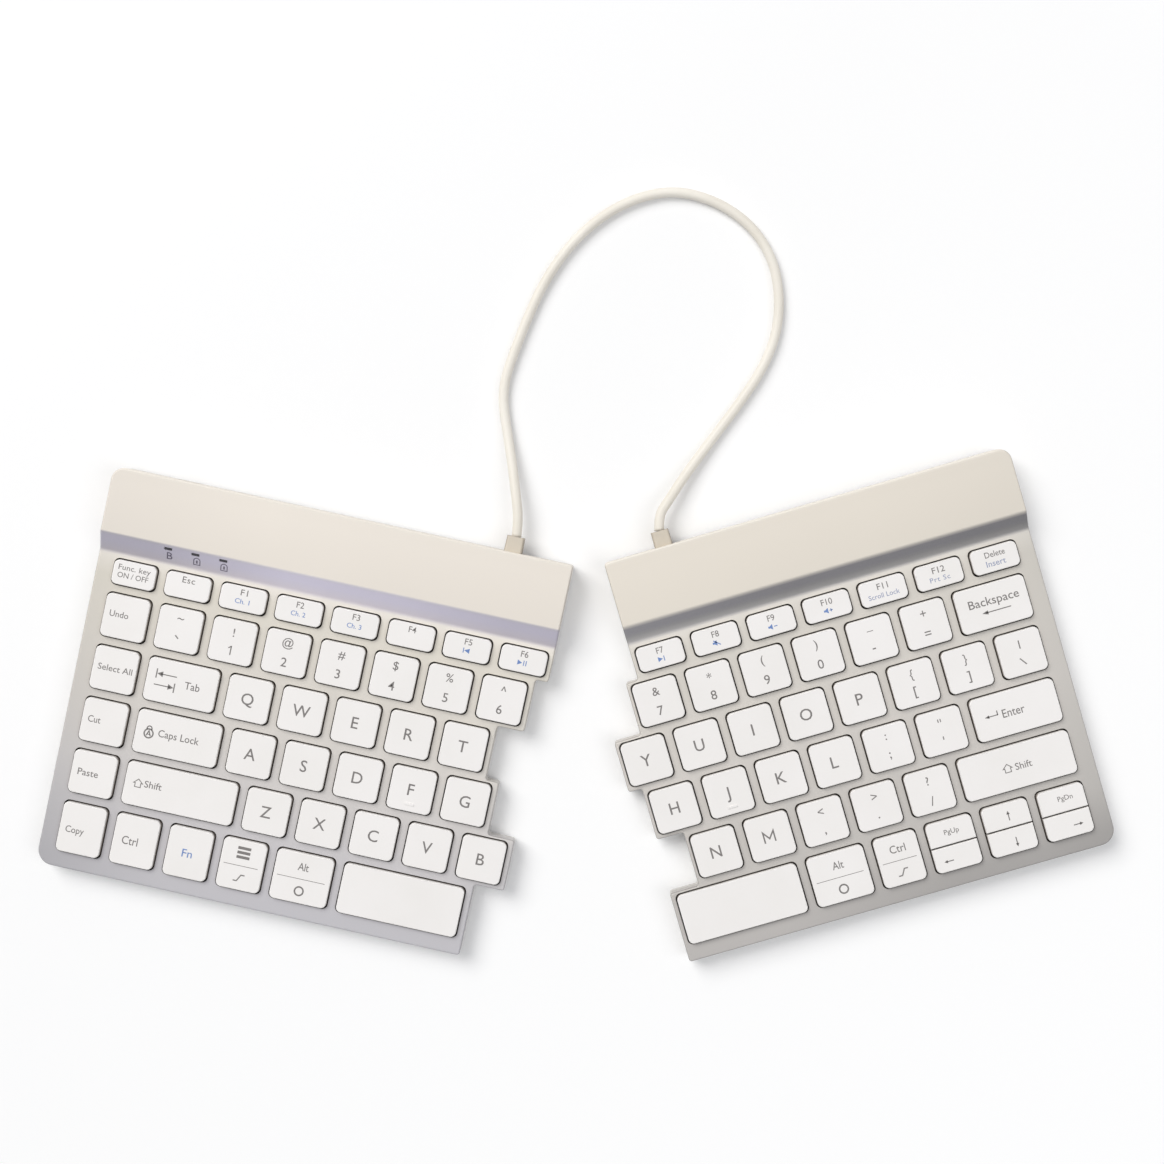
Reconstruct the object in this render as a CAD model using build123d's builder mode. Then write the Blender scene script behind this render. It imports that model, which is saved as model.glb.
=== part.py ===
from build123d import *
import os
from math import asin, atan2, cos, degrees, pi, radians, sin, tan

# A split desk keyboard, in millimetres: two halves with scissor keys, joined at their rear edges by a cable.
# Z is up, Y runs from the typist to the cable, and the origin is on the desk under the middle of the halves.
# Both halves share one grid: X from the centre of the first column, Y from the centre of the number row.

os.makedirs("parts", exist_ok=True)

# Key grid
key_pitch = 19.0
row_pitch = 18.5
function_row_pitch = 15.1
space_row_pitch = 19.82

# Caps: the white top of a cap, and the space to the next one
cap_side_gap = 3.65
cap_row_gap = 3.45
function_cap_depth = 8.5
space_cap_depth = 17.5
stack_gap = 0.5
cap_height = 4.2
cap_rise = 1.6
cap_top_thickness = 1.3
cap_wall = 1.0
cap_draft = 2.0
cap_corner_radius = 2.0
cap_edge_radius = 0.35
window_clearance = 0.35
homing_bar_length = 3.6
homing_bar_width = 0.7
homing_bar_height = 0.3
homing_bar_inset = 2.6

# Heights of the layers, from the desk up
foot_rise = 1.0
floor_thickness = 1.4
plate_thickness = 0.6
membrane_thickness = 0.3
key_travel = 1.8
bottoming_gap = 0.3
split_rise = 2.6
deck_thickness = 1.2
bar_rise = 4.0

# Case plan
case_wall = 1.4
side_border = 4.4
far_side_border = 4.9
front_border = 6.1
slope_gap = 2.5
slope_depth = 6.0
bar_depth = 22.8
left_seam_border = 0.4
right_seam_border = 0.3
seam_clearance = 0.3
seam_drop = 0.25
rear_corner_radius = 4.5
front_corner_radius = 5.5
seam_corner_radius = 1.0
rim_radius = 0.7
slope_foot_radius = 2.0
slope_crest_radius = 1.5
bottom_edge_chamfer = 0.6

# Placing of the halves: how far they are turned, and the point that they swing about when they are closed
left_yaw = -12.27
splay = 28.54
closed_gap = 1.2
swing_inset = 0.08
swing_reach = 19.04

# Links, domes and tabs under each cap
link_length = 11.0
link_width = 10.4
link_bar = 0.7
link_thickness = 0.7
link_clearance = 0.25
link_end_gap = 0.1
dome_radius = 2.6
dome_skin = 0.4
dome_flange_thickness = 0.3
dome_seat_depth = 0.4
dome_seat_radius = 1.5
tab_thickness = 0.5
tab_width = 2.4
tab_height = 1.2
tab_clearance = 0.15
clip_depth = 1.2

# Screws, their bosses in the top cover and their cups in the bottom cover
screw_radius = 1.0
screw_length = 3.6
screw_head_radius = 1.75
screw_head_height = 1.2
screw_fit = 0.03
driver_slot_width = 0.5
driver_slot_depth = 0.6
boss_radius = 1.8
boss_inset = 6.0
front_boss_inset = 3.2
cup_wall = 0.8
cup_rise = 2.4
cup_top_thickness = 0.8
head_clearance = 0.15

# Rubber feet
foot_length = 22.0
foot_width = 6.0
foot_recess = 0.5
foot_fit = 0.1
foot_outer_inset = 26.0
foot_seam_inset = 36.0
foot_edge_inset = 9.5
foot_edge_radius = 0.3

# Cable and its strain reliefs
cable_diameter = 3.4
left_cable_lead = 6.0
right_cable_lead = 4.6
left_relief_x = 126.0
right_relief_x = 168.6
relief_height = 6.6
relief_length = 5.4
relief_base_width = 6.3
relief_tip_width = 6.1
relief_edge_radius = 1.0
relief_neck_radius = 2.2
relief_flange_radius = 3.4
relief_flange_thickness = 1.2
relief_fit = 0.1

# Key plate and membrane
plate_margin = 1.5
plate_fit = 0.3
membrane_inset = 0.3
membrane_slot_clearance = 0.2
ribbon_width = 12.0
ribbon_overlap = 4.0

# Electronics in the rear bar
battery_length = 52.0
battery_depth = 15.0
battery_height = 5.6
battery_inset = 85.0
battery_edge_radius = 1.2
board_length = 38.0
board_depth = 26.0
link_board_length = 26.0
link_board_depth = 20.0
board_thickness = 1.0
board_standoff = 1.2
board_fit = 0.3
board_inset = 17.0
link_board_inset = 12.0
standoff_radius = 1.6
standoff_inset = 3.0
chip_size = 7.0
chip_height = 1.0
socket_width = 8.9
socket_height = 3.2
socket_length = 7.3
socket_shell = 0.3
socket_tongue_width = 6.6
socket_tongue_thickness = 0.7
socket_tongue_length = 4.5
socket_setback = 0.3
socket_inset = 9.0
switch_length = 9.0
switch_depth = 3.3
switch_height = 3.4
switch_channel_depth = 1.5
switch_inset = 29.0
slider_width = 3.2
slider_height = 1.8
slider_recess = 0.4
slider_travel = 3.0
slot_clearance = 0.25
part_fit = 0.1

# Status lights in the slope of the left half
light_places = (10.2, 19.8, 29.6)
light_length = 2.6
light_width = 0.7
light_slope_share = 0.8
light_fit = 0.1
light_bar_width = 2.4
light_bar_thickness = 1.2
light_bar_overhang = 2.0
light_chip_height = 0.6
light_chip_gap = 0.2

# Share of the shorter run that a bend of the cable takes up
bend_share = 0.45

# Any cut runs past its piece by this much
overrun = 2.0

# Sizes that follow from the ones above
cap_flare = cap_height * tan(radians(cap_draft))
membrane_top = foot_rise + floor_thickness + plate_thickness + membrane_thickness
floor_top = foot_rise + floor_thickness
plate_top = floor_top + plate_thickness
split_height = foot_rise + split_rise
skirt_bottom = membrane_top + bottoming_gap + key_travel
cap_top = skirt_bottom + cap_height
cap_ceiling = cap_top - cap_top_thickness
deck_top = cap_top - cap_rise
bar_top = deck_top + bar_rise
cup_radius = screw_head_radius + head_clearance + cup_wall
boss_bottom = foot_rise + cup_rise
screw_seat = boss_bottom - cup_top_thickness
board_top = floor_top + board_standoff + board_thickness

# Centre line and cap depth of each row, from the rear. The last two share the windows of the space row.
cap_depth = row_pitch - cap_row_gap
space_row_y = -3 * row_pitch - space_row_pitch
stack_depth = (space_cap_depth - stack_gap) / 2
stack_shift = (stack_depth + stack_gap) / 2
row_places = {
    "function": (function_row_pitch, function_cap_depth),
    "number": (0, cap_depth),
    "upper": (-row_pitch, cap_depth),
    "home": (-2 * row_pitch, cap_depth),
    "lower": (-3 * row_pitch, cap_depth),
    "space": (space_row_y, space_cap_depth),
    "page": (space_row_y + stack_shift, stack_depth),
    "arrow": (space_row_y - stack_shift, stack_depth),
}
stacked_rows = ("page", "arrow")
seam_rows = ("function", "number", "upper", "home", "lower", "space")

# Where each row of the left half ends and that of the right half starts
seam_shares = {"function": 7.735, "number": 7.5, "upper": 7.0, "home": 7.25, "lower": 7.75, "space": 7.2}

# Keys that move as one: the row, where it starts, and the width of each cell, as shares of the key pitch
left_key_shares = {
    "func_key": [("function", -0.49, [0.98])],
    "escape_key": [("function", 0.49, [1.02])],
    "left_function_keys": [("function", 1.51, [1.04] * 6)],
    "edit_keys": [(row, -0.5, [1.0]) for row in seam_rows[1:]],
    "left_number_keys": [("number", 0.5, [1.0] * 7)],
    "tab_key": [("upper", 0.5, [1.5])],
    "left_upper_letter_keys": [("upper", 2.0, [1.0] * 5)],
    "caps_lock_key": [("home", 0.5, [1.75])],
    "left_home_letter_keys": [("home", 2.25, [1.0] * 5)],
    "left_shift_key": [("lower", 0.5, [2.25])],
    "left_lower_letter_keys": [("lower", 2.75, [1.0] * 5)],
    "left_control_key": [("space", 0.5, [1.0])],
    "fn_key": [("space", 1.5, [1.0])],
    "system_key": [("space", 2.5, [1.0])],
    "left_alt_key": [("space", 3.5, [1.25])],
    "left_space_bar": [("space", 4.75, [2.425])],
}
right_key_shares = {
    "right_function_keys": [("function", 7.75, [1.04] * 6)],
    "delete_key": [("function", 13.99, [1.04])],
    "right_number_keys": [("number", 7.5, [1.0] * 6)],
    "backspace_key": [("number", 13.5, [1.5])],
    "right_upper_letter_keys": [("upper", 7.0, [1.0] * 8)],
    "right_home_letter_keys": [("home", 7.25, [1.0] * 6)],
    "enter_key": [("home", 13.25, [1.75])],
    "right_lower_letter_keys": [("lower", 7.75, [1.0] * 5)],
    "right_shift_key": [("lower", 12.75, [2.25])],
    "right_space_bar": [("space", 7.22, [2.43])],
    "right_alt_key": [("space", 9.65, [1.25])],
    "right_control_key": [("space", 10.9, [0.98])],
    "page_up_key": [("page", 11.88, [1.04])],
    "up_arrow_key": [("page", 12.92, [1.04])],
    "page_down_key": [("page", 13.96, [1.04])],
    "left_arrow_key": [("arrow", 11.88, [1.04])],
    "down_arrow_key": [("arrow", 12.92, [1.04])],
    "right_arrow_key": [("arrow", 13.96, [1.04])],
}
far_edge_share = 15.0
near_edge_share = -0.5
# Caps with a homing bar: the group and the cap's place in it
homing_caps = {"left_home_letter_keys": 3, "right_home_letter_keys": 1}

# Case edges on the shared grid
rear_y_of_caps = function_row_pitch + function_cap_depth / 2
slope_foot_y = rear_y_of_caps + slope_gap
slope_crest_y = slope_foot_y + slope_depth
rear_y = slope_crest_y + bar_depth
bar_middle_y = slope_crest_y + bar_depth / 2
front_y = space_row_y - space_cap_depth / 2 - front_border
near_x = near_edge_share * key_pitch - side_border
far_x = far_edge_share * key_pitch + far_side_border
grid_reach = far_x + overrun
plate_rear_y = rear_y_of_caps + plate_margin
board_rear_y = rear_y - case_wall - board_fit
light_y = slope_foot_y + light_slope_share * slope_depth
socket_x = near_x + board_inset + socket_inset
switch_x = near_x + board_inset + switch_inset
switch_z = board_top + switch_height / 2
socket_z = board_top + socket_height / 2
link_tilt = degrees(
    asin((cap_ceiling - membrane_top - 2 * link_end_gap - link_thickness) / link_length)
)


def cells(strips):
    """Row, centre across and cap width of each cell in some strips of keys."""
    found = []
    for row, start_share, width_shares in strips:
        edge = start_share * key_pitch
        for width_share in width_shares:
            width = width_share * key_pitch
            found.append((row, edge + width / 2, width - cap_side_gap))
            edge += width
    return found


def seam_points(border, step_shift):
    """Corners of the stepped edge where the halves meet, from the rear, a border past each row's end."""
    points = []
    back = rear_y
    for row, next_row in zip(seam_rows, seam_rows[1:] + (None,)):
        x = seam_shares[row] * key_pitch + border
        front = front_y
        if next_row:
            next_y, next_depth = row_places[next_row]
            front = next_y + (next_depth + cap_row_gap) / 2 - seam_drop
            # Each step is drawn back from the other half
            front += -step_shift if seam_shares[next_row] < seam_shares[row] else step_shift
        points += [(x, back), (x, front)]
        back = front
    return points


def outline(side, inset=0):
    """Plan of one half on the shared grid, drawn in by an even inset."""
    outer_x = near_x if side == "left" else far_x
    seam_border = left_seam_border if side == "left" else right_seam_border
    step_shift = -seam_clearance if side == "left" else seam_clearance
    with BuildSketch() as plan:
        with BuildLine():
            steps = seam_points(seam_border, step_shift)
            Polyline(*steps, (outer_x, front_y), (outer_x, rear_y), close=True)
        make_face()
        if inset:
            offset(amount=-inset, kind=Kind.INTERSECTION)
        seam = [v for v in plan.vertices() if abs(v.X - outer_x) > front_corner_radius]
        fillet(seam, seam_corner_radius / 2 if inset else seam_corner_radius)
        # Each rounding makes a new sketch, so each outer corner is looked for again
        for end_y, radius in ((rear_y, rear_corner_radius), (front_y, front_corner_radius)):
            corner = plan.vertices().sort_by_distance((outer_x, end_y))[0]
            fillet(corner, radius - inset)
    return plan.sketch


# Places of the halves: the right one is the left one's closed neighbour, swung out about the swing point
seam_x = seam_shares["function"] * key_pitch + right_seam_border
swing_x = seam_x - swing_inset
swing_y = rear_y + swing_reach
left_turn = radians(left_yaw)
right_turn = radians(left_yaw + splay)


def turned(x, y, angle):
    """A point turned about the origin."""
    return (x * cos(angle) - y * sin(angle), x * sin(angle) + y * cos(angle))


swing_place = turned(swing_x, swing_y, left_turn)
right_corner = turned(closed_gap - swing_x, -swing_y, right_turn)
right_place = (swing_place[0] + right_corner[0], swing_place[1] + right_corner[1])
left_plan = outline("left").moved(Location((0, 0, 0), (0, 0, left_yaw)))
right_plan = outline("right").moved(Location((*right_place, 0), (0, 0, left_yaw + splay)))
middle = Compound([left_plan, right_plan]).bounding_box().center()
half_planes = {
    "left": Plane(
        origin=(-middle.X, -middle.Y, 0), x_dir=(cos(left_turn), sin(left_turn), 0), z_dir=(0, 0, 1)
    ),
    "right": Plane(
        origin=(right_place[0] - middle.X, right_place[1] - middle.Y, 0),
        x_dir=(cos(right_turn), sin(right_turn), 0),
        z_dir=(0, 0, 1),
    ),
}
key_shares = {"left": left_key_shares, "right": right_key_shares}


def finish(part, name):
    """Label a finished piece and write it."""
    part.label = name
    export_step(part, "parts/" + name + ".step")


def side_plane(side):
    """The plane through a half's grid origin where sketches run along Y and up."""
    grid = half_planes[side]
    return Plane(origin=grid.origin, x_dir=grid.y_dir, z_dir=grid.x_dir)


def profile(lower_by):
    """Side view of the region under the top surface, lowered evenly by a thickness."""
    slope_turn = atan2(bar_rise, slope_depth)
    step_back = lower_by * tan(slope_turn / 2)
    foot = (slope_foot_y + step_back, deck_top - lower_by)
    crest = (slope_crest_y + step_back, bar_top - lower_by)
    with BuildSketch() as view:
        with BuildLine():
            Polyline(
                (front_y - overrun, -overrun),
                (front_y - overrun, foot[1]),
                foot,
                crest,
                (rear_y + overrun, crest[1]),
                (rear_y + overrun, -overrun),
                close=True,
            )
        make_face()
        if not lower_by:
            fillet(view.vertices().sort_by(Axis.X)[3], slope_crest_radius)
            fillet(view.vertices().sort_by(Axis.X)[2], slope_foot_radius)
    return view.sketch


def back_plane(side, y):
    """An upright plane across one half at some Y, where sketches run along X and up and face forwards."""
    grid = half_planes[side]
    return Plane(origin=grid.from_local_coords((0, y, 0)), x_dir=grid.x_dir, z_dir=-grid.y_dir)


relief_x = {"left": left_relief_x, "right": right_relief_x}
# Centre, length and depth of each circuit board
board_places = {
    "left": (
        near_x + board_inset + board_length / 2,
        board_rear_y - board_depth / 2,
        board_length,
        board_depth,
    ),
    "right": (
        seam_x + link_board_inset + link_board_length / 2,
        plate_rear_y + ribbon_overlap + link_board_depth / 2,
        link_board_length,
        link_board_depth,
    ),
}


def standoff_places(side):
    """Centres of the four posts under a circuit board."""
    x, y, length, depth = board_places[side]
    reach_x = length / 2 - standoff_inset
    reach_y = depth / 2 - standoff_inset
    return [(x + i * reach_x, y + j * reach_y) for i in (-1, 1) for j in (-1, 1)]


def layer_plan(side, inset):
    """Plan of a flat layer under the keys, with holes round the screw cups."""
    with BuildSketch() as plan:
        add(outline(side, case_wall + inset))
        with Locations((0, plate_rear_y + grid_reach)):
            Rectangle(2 * grid_reach, 2 * grid_reach, mode=Mode.SUBTRACT)
        with Locations(*boss_places(side)):
            Circle(cup_radius + inset, mode=Mode.SUBTRACT)
    return plan.sketch


def boss_places(side):
    """Screw places of one half: three in the rear bar, then three along the front edge."""
    outer = near_x + boss_inset if side == "left" else far_x - boss_inset
    turn_in = -boss_inset if side == "left" else boss_inset
    rear_seam = seam_shares["function"] * key_pitch + turn_in
    front_seam = seam_shares["space"] * key_pitch + turn_in
    front = front_y + front_boss_inset
    rear = [(x, bar_middle_y) for x in (outer, (outer + rear_seam) / 2, rear_seam)]
    return rear + [(x, front) for x in (outer, (outer + front_seam) / 2, front_seam)]


def foot_places(side):
    """Centres of the four rubber feet of one half."""
    outer = near_x + foot_outer_inset if side == "left" else far_x - foot_outer_inset
    turn_in = -foot_seam_inset if side == "left" else foot_seam_inset
    inner = seam_shares["upper"] * key_pitch + turn_in
    return [(x, y) for x in (outer, inner) for y in (front_y + foot_edge_inset, rear_y - foot_edge_inset)]


def stacked_cells(strips):
    """Centre and width of the space that belongs to the other cap of each stacked cap."""
    found = []
    for row, x, width in cells(strips):
        if row in stacked_rows:
            other_row = "arrow" if row == "page" else "page"
            found.append((x, row_places[other_row][0], width))
    return found


def caps_plan(strips, grow, whole_stack=False):
    """Plan of each cap, grown all round. Stacked caps are the halves of one shape of the space row."""
    with BuildSketch() as plan:
        for row, x, width in cells(strips):
            y, depth = row_places["space" if row in stacked_rows else row]
            with Locations((x, y)):
                RectangleRounded(width + 2 * grow, depth + 2 * grow, cap_corner_radius + min(grow, 0))
        if not whole_stack:
            for x, y, width in stacked_cells(strips):
                with Locations((x, y)):
                    Rectangle(
                        width + 2 * overrun,
                        stack_depth + 2 * (stack_gap - grow),
                        mode=Mode.SUBTRACT,
                    )
    return plan.sketch


def all_strips(side):
    """Every strip of keys in one half."""
    return [strip for strips in key_shares[side].values() for strip in strips]


def link_width_of(depth):
    """Width of the outer link frame under a cap of some depth."""
    return min(link_width, depth - 2 * (cap_wall + link_clearance))


def link_places(strips):
    """Row, centre and frame width of each pair of links. Long caps stand on two pairs."""
    places = []
    for row, x, width in cells(strips):
        y, depth = row_places[row]
        frame_width = link_width_of(depth)
        long_reach = (width - cap_depth) / 2
        if long_reach > link_length / 2 + dome_radius:
            places += [(x - long_reach, y, frame_width), (x + long_reach, y, frame_width)]
        else:
            places.append((x, y, frame_width))
    return places


def dome_places(strips):
    """Centre and base radius of the dome in the middle of each cap."""
    places = []
    for row, x, _ in cells(strips):
        y, depth = row_places[row]
        opening = link_width_of(depth) - 4 * link_bar - 4 * link_clearance
        places.append((x, y, min(dome_radius, opening / 2)))
    return places


def tab_places(strips):
    """Centres of the pairs of tabs beside the ends of each link frame."""
    reach = (link_length + tab_thickness) / 2 + tab_clearance
    return [(x + turn * reach, y) for x, y, _ in link_places(strips) for turn in (-1, 1)]


# Key caps

for side, groups in key_shares.items():
    grid = half_planes[side]
    for name, strips in groups.items():
        with BuildPart() as caps:
            with BuildSketch(grid.offset(skirt_bottom)):
                add(caps_plan(strips, cap_flare, whole_stack=True))
            extrude(amount=cap_height, taper=cap_draft)
            for x, y, width in stacked_cells(strips):
                with BuildSketch(grid.offset(skirt_bottom - overrun)):
                    with Locations((x, y)):
                        Rectangle(width + 2 * overrun, stack_depth + 2 * stack_gap)
                extrude(amount=cap_height + 2 * overrun, mode=Mode.SUBTRACT)
            fillet(caps.faces().filter_by(Axis.Z).group_by(Axis.Z)[-1].edges(), cap_edge_radius)
            with BuildSketch(grid.offset(skirt_bottom)):
                add(caps_plan(strips, -cap_wall))
            extrude(amount=cap_height - cap_top_thickness, mode=Mode.SUBTRACT)
            # Seats for the domes and clips for the links under the top
            with BuildSketch(grid.offset(cap_ceiling)):
                for x, y, radius in dome_places(strips):
                    with Locations((x, y)):
                        Circle(min(dome_seat_radius, radius))
            extrude(amount=-dome_seat_depth)
            with BuildSketch(grid.offset(cap_ceiling)):
                with Locations(*tab_places(strips)):
                    Rectangle(tab_thickness, tab_width)
            extrude(amount=-clip_depth)
            if name in homing_caps:
                row, x, _ = cells(strips)[homing_caps[name]]
                y, depth = row_places[row]
                with BuildSketch(grid.offset(cap_top)):
                    with Locations((x, y - depth / 2 + homing_bar_inset)):
                        SlotOverall(homing_bar_length, homing_bar_width)
                extrude(amount=homing_bar_height)
        finish(caps.part, name)

# Top covers

for side in key_shares:
    grid = half_planes[side]
    side_grid = side_plane(side)
    strips = all_strips(side)
    with BuildPart() as hollow:
        with BuildSketch(grid.offset(split_height - overrun)):
            add(outline(side, case_wall))
        extrude(amount=bar_top)
        with BuildSketch(side_grid):
            add(profile(deck_thickness))
        extrude(amount=grid_reach, both=True, mode=Mode.INTERSECT)
    with BuildPart() as top_cover:
        with BuildSketch(grid.offset(split_height)):
            add(outline(side))
        extrude(amount=bar_top - split_height)
        with BuildSketch(side_grid):
            add(profile(0))
        extrude(amount=grid_reach, both=True, mode=Mode.INTERSECT)
        # The rim is every upper edge but the creases of the slope
        rim = []
        for edge in top_cover.edges().filter_by(lambda e: e.center().Z > deck_top - overrun):
            along = edge.tangent_at(0)
            place = grid.to_local_coords(edge.center())
            near_slope = slope_foot_y - slope_depth < place.Y < slope_crest_y + slope_depth
            crease = near_slope and abs(along.dot(grid.x_dir)) > cos(radians(cap_draft))
            upright = abs(along.Z) > cos(radians(cap_draft))
            if not crease and not upright:
                rim.append(edge)
        fillet(rim, rim_radius)
        add(hollow.part, mode=Mode.SUBTRACT)
        # The windows also clear the stepped walls, as far down as a pressed cap reaches
        with BuildSketch(grid.offset(membrane_top)):
            add(caps_plan(strips, cap_flare + window_clearance, whole_stack=True))
        extrude(amount=deck_top - membrane_top + overrun, mode=Mode.SUBTRACT)
        # Bosses under the bar and along the front, with pilot holes for the screws
        for x, y in boss_places(side):
            ceiling = bar_top if y > slope_crest_y else deck_top
            with BuildSketch(grid.offset(boss_bottom)):
                with Locations((x, y)):
                    Circle(boss_radius)
            extrude(amount=ceiling - deck_thickness / 2 - boss_bottom)
        with BuildSketch(grid.offset(screw_seat)):
            with Locations(*boss_places(side)):
                Circle(screw_radius + screw_fit)
        extrude(amount=screw_length + screw_fit, mode=Mode.SUBTRACT)
        # Hole in the rear wall for the strain relief
        with BuildSketch(back_plane(side, rear_y - case_wall - overrun)):
            with Locations((relief_x[side], relief_height)):
                Circle(relief_neck_radius + relief_fit)
        extrude(amount=-case_wall - 2 * overrun, mode=Mode.SUBTRACT)
        if side == "left":
            # Openings for the charging socket and the power switch, and slots for the status lights
            with BuildSketch(back_plane(side, rear_y - case_wall - overrun)):
                with Locations((socket_x, socket_z)):
                    SlotOverall(socket_width + 2 * slot_clearance, socket_height + 2 * slot_clearance)
                with Locations((switch_x, switch_z)):
                    Rectangle(
                        slider_width + slider_travel + 2 * slot_clearance,
                        slider_height + 2 * slot_clearance,
                    )
            extrude(amount=-case_wall - 2 * overrun, mode=Mode.SUBTRACT)
            with BuildSketch(grid.offset(deck_top - deck_thickness)):
                with Locations(*[(x, light_y) for x in light_places]):
                    Rectangle(light_length + 2 * light_fit, light_width + 2 * light_fit)
            extrude(amount=bar_rise + deck_thickness, mode=Mode.SUBTRACT)
    finish(top_cover.part, side + "_top_cover")

# Bottom covers

for side in key_shares:
    grid = half_planes[side]
    with BuildPart() as bottom_cover:
        with BuildSketch(grid.offset(foot_rise)):
            add(outline(side))
        extrude(amount=split_rise)
        chamfer(bottom_cover.faces().sort_by(Axis.Z)[0].edges(), bottom_edge_chamfer)
        with BuildSketch(grid.offset(floor_top)):
            add(outline(side, case_wall))
        extrude(amount=split_rise, mode=Mode.SUBTRACT)
        with BuildSketch(grid.offset(floor_top - floor_thickness / 2)):
            with Locations(*boss_places(side)):
                Circle(cup_radius)
        extrude(amount=boss_bottom - floor_top + floor_thickness / 2)
        with BuildSketch(grid.offset(floor_top - floor_thickness / 2)):
            with Locations(*standoff_places(side)):
                Circle(standoff_radius)
        extrude(amount=board_standoff + floor_thickness / 2)
        # Counterbores for the screw heads, clearance holes for the shanks, and seats for the feet
        with BuildSketch(grid.offset(foot_rise - overrun)):
            with Locations(*boss_places(side)):
                Circle(screw_head_radius + head_clearance)
        extrude(amount=screw_seat - foot_rise + overrun, mode=Mode.SUBTRACT)
        with BuildSketch(grid.offset(foot_rise)):
            with Locations(*boss_places(side)):
                Circle(screw_radius + head_clearance)
        extrude(amount=cup_rise + overrun, mode=Mode.SUBTRACT)
        with BuildSketch(grid.offset(foot_rise - overrun)):
            with Locations(*foot_places(side)):
                SlotOverall(foot_length + 2 * foot_fit, foot_width + 2 * foot_fit)
        extrude(amount=foot_recess + overrun, mode=Mode.SUBTRACT)
    finish(bottom_cover.part, side + "_bottom_cover")

# Rubber feet

for side in key_shares:
    with BuildPart() as feet:
        with BuildSketch(half_planes[side]):
            with Locations(*foot_places(side)):
                SlotOverall(foot_length, foot_width)
        extrude(amount=foot_rise + foot_recess)
        fillet(feet.faces().filter_by(Axis.Z).group_by(Axis.Z)[0].edges(), foot_edge_radius)
    finish(feet.part, side + "_feet")

# Case screws

for side in key_shares:
    grid = half_planes[side]
    with BuildPart() as screws:
        with BuildSketch(grid.offset(screw_seat - screw_head_height)):
            with Locations(*boss_places(side)):
                Circle(screw_head_radius)
        extrude(amount=screw_head_height)
        with BuildSketch(grid.offset(screw_seat)):
            with Locations(*boss_places(side)):
                Circle(screw_radius)
        extrude(amount=screw_length)
        with BuildSketch(grid.offset(screw_seat - screw_head_height)):
            with Locations(*boss_places(side)):
                Rectangle(screw_head_radius, driver_slot_width)
                Rectangle(driver_slot_width, screw_head_radius)
        extrude(amount=driver_slot_depth, mode=Mode.SUBTRACT)
    finish(screws.part, side + "_case_screws")

# Key plates, with a pair of tabs for each pair of links

for side in key_shares:
    grid = half_planes[side]
    strips = all_strips(side)
    with BuildPart() as key_plate:
        with BuildSketch(grid.offset(floor_top)):
            add(layer_plan(side, plate_fit))
        extrude(amount=plate_thickness)
        with BuildSketch(grid.offset(floor_top)):
            with Locations(*tab_places(strips)):
                Rectangle(tab_thickness, tab_width)
        extrude(amount=plate_thickness + tab_height)
    finish(key_plate.part, side + "_key_plate")

# Membranes, with a ribbon that runs back to the circuit board

for side in key_shares:
    grid = half_planes[side]
    strips = all_strips(side)
    x, y, length, depth = board_places[side]
    ribbon_front = plate_rear_y - ribbon_overlap
    ribbon_rear = y - depth / 2 + ribbon_overlap
    with BuildPart() as membrane:
        with BuildSketch(grid.offset(plate_top)):
            add(layer_plan(side, plate_fit + membrane_inset))
            with Locations((x, (ribbon_front + ribbon_rear) / 2)):
                Rectangle(ribbon_width, ribbon_rear - ribbon_front)
            with Locations(*tab_places(strips)):
                Rectangle(
                    tab_thickness + 2 * membrane_slot_clearance,
                    tab_width + 2 * membrane_slot_clearance,
                    mode=Mode.SUBTRACT,
                )
        extrude(amount=membrane_thickness)
    finish(membrane.part, side + "_membrane")

# Scissor links: an inner frame crosses inside an outer one

for side in key_shares:
    grid = half_planes[side]
    places = link_places(all_strips(side))
    link_middle = (membrane_top + cap_ceiling) / 2
    frame_widths = sorted({width for _, _, width in places})
    with BuildPart() as links:
        for frame_width in frame_widths:
            spots = [(x, y, link_middle) for x, y, width in places if width == frame_width]
            inner_width = frame_width - 2 * (link_bar + link_clearance)
            for width, tilt in ((frame_width, link_tilt), (inner_width, -link_tilt)):
                planes = [Plane(grid.location * Location(spot, (0, tilt, 0))) for spot in spots]
                with BuildSketch(*planes):
                    Rectangle(link_length, width)
                    Rectangle(link_length - 2 * link_bar, width - 2 * link_bar, mode=Mode.SUBTRACT)
                extrude(amount=link_thickness / 2, both=True)
    finish(links.part, side + "_scissor_links")

# Rubber domes

for side in key_shares:
    places = dome_places(all_strips(side))
    dome_height = cap_ceiling - dome_seat_depth - membrane_top
    cone_height = dome_height - dome_flange_thickness
    with BuildPart(half_planes[side].offset(membrane_top)) as domes:
        for base_radius in sorted({radius for _, _, radius in places}):
            spots = [(x, y) for x, y, radius in places if radius == base_radius]
            top_radius = min(dome_seat_radius, base_radius / 2)
            seats = (Align.CENTER, Align.CENTER, Align.MIN)
            with Locations(*spots):
                Cylinder(base_radius, dome_flange_thickness, align=seats)
                Cone(base_radius - dome_flange_thickness, top_radius, dome_height, align=seats)
                Cone(
                    base_radius - dome_flange_thickness - dome_skin,
                    top_radius - dome_skin,
                    cone_height - dome_skin,
                    align=seats,
                    mode=Mode.SUBTRACT,
                )
    finish(domes.part, side + "_rubber_domes")

# Strain reliefs

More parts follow.
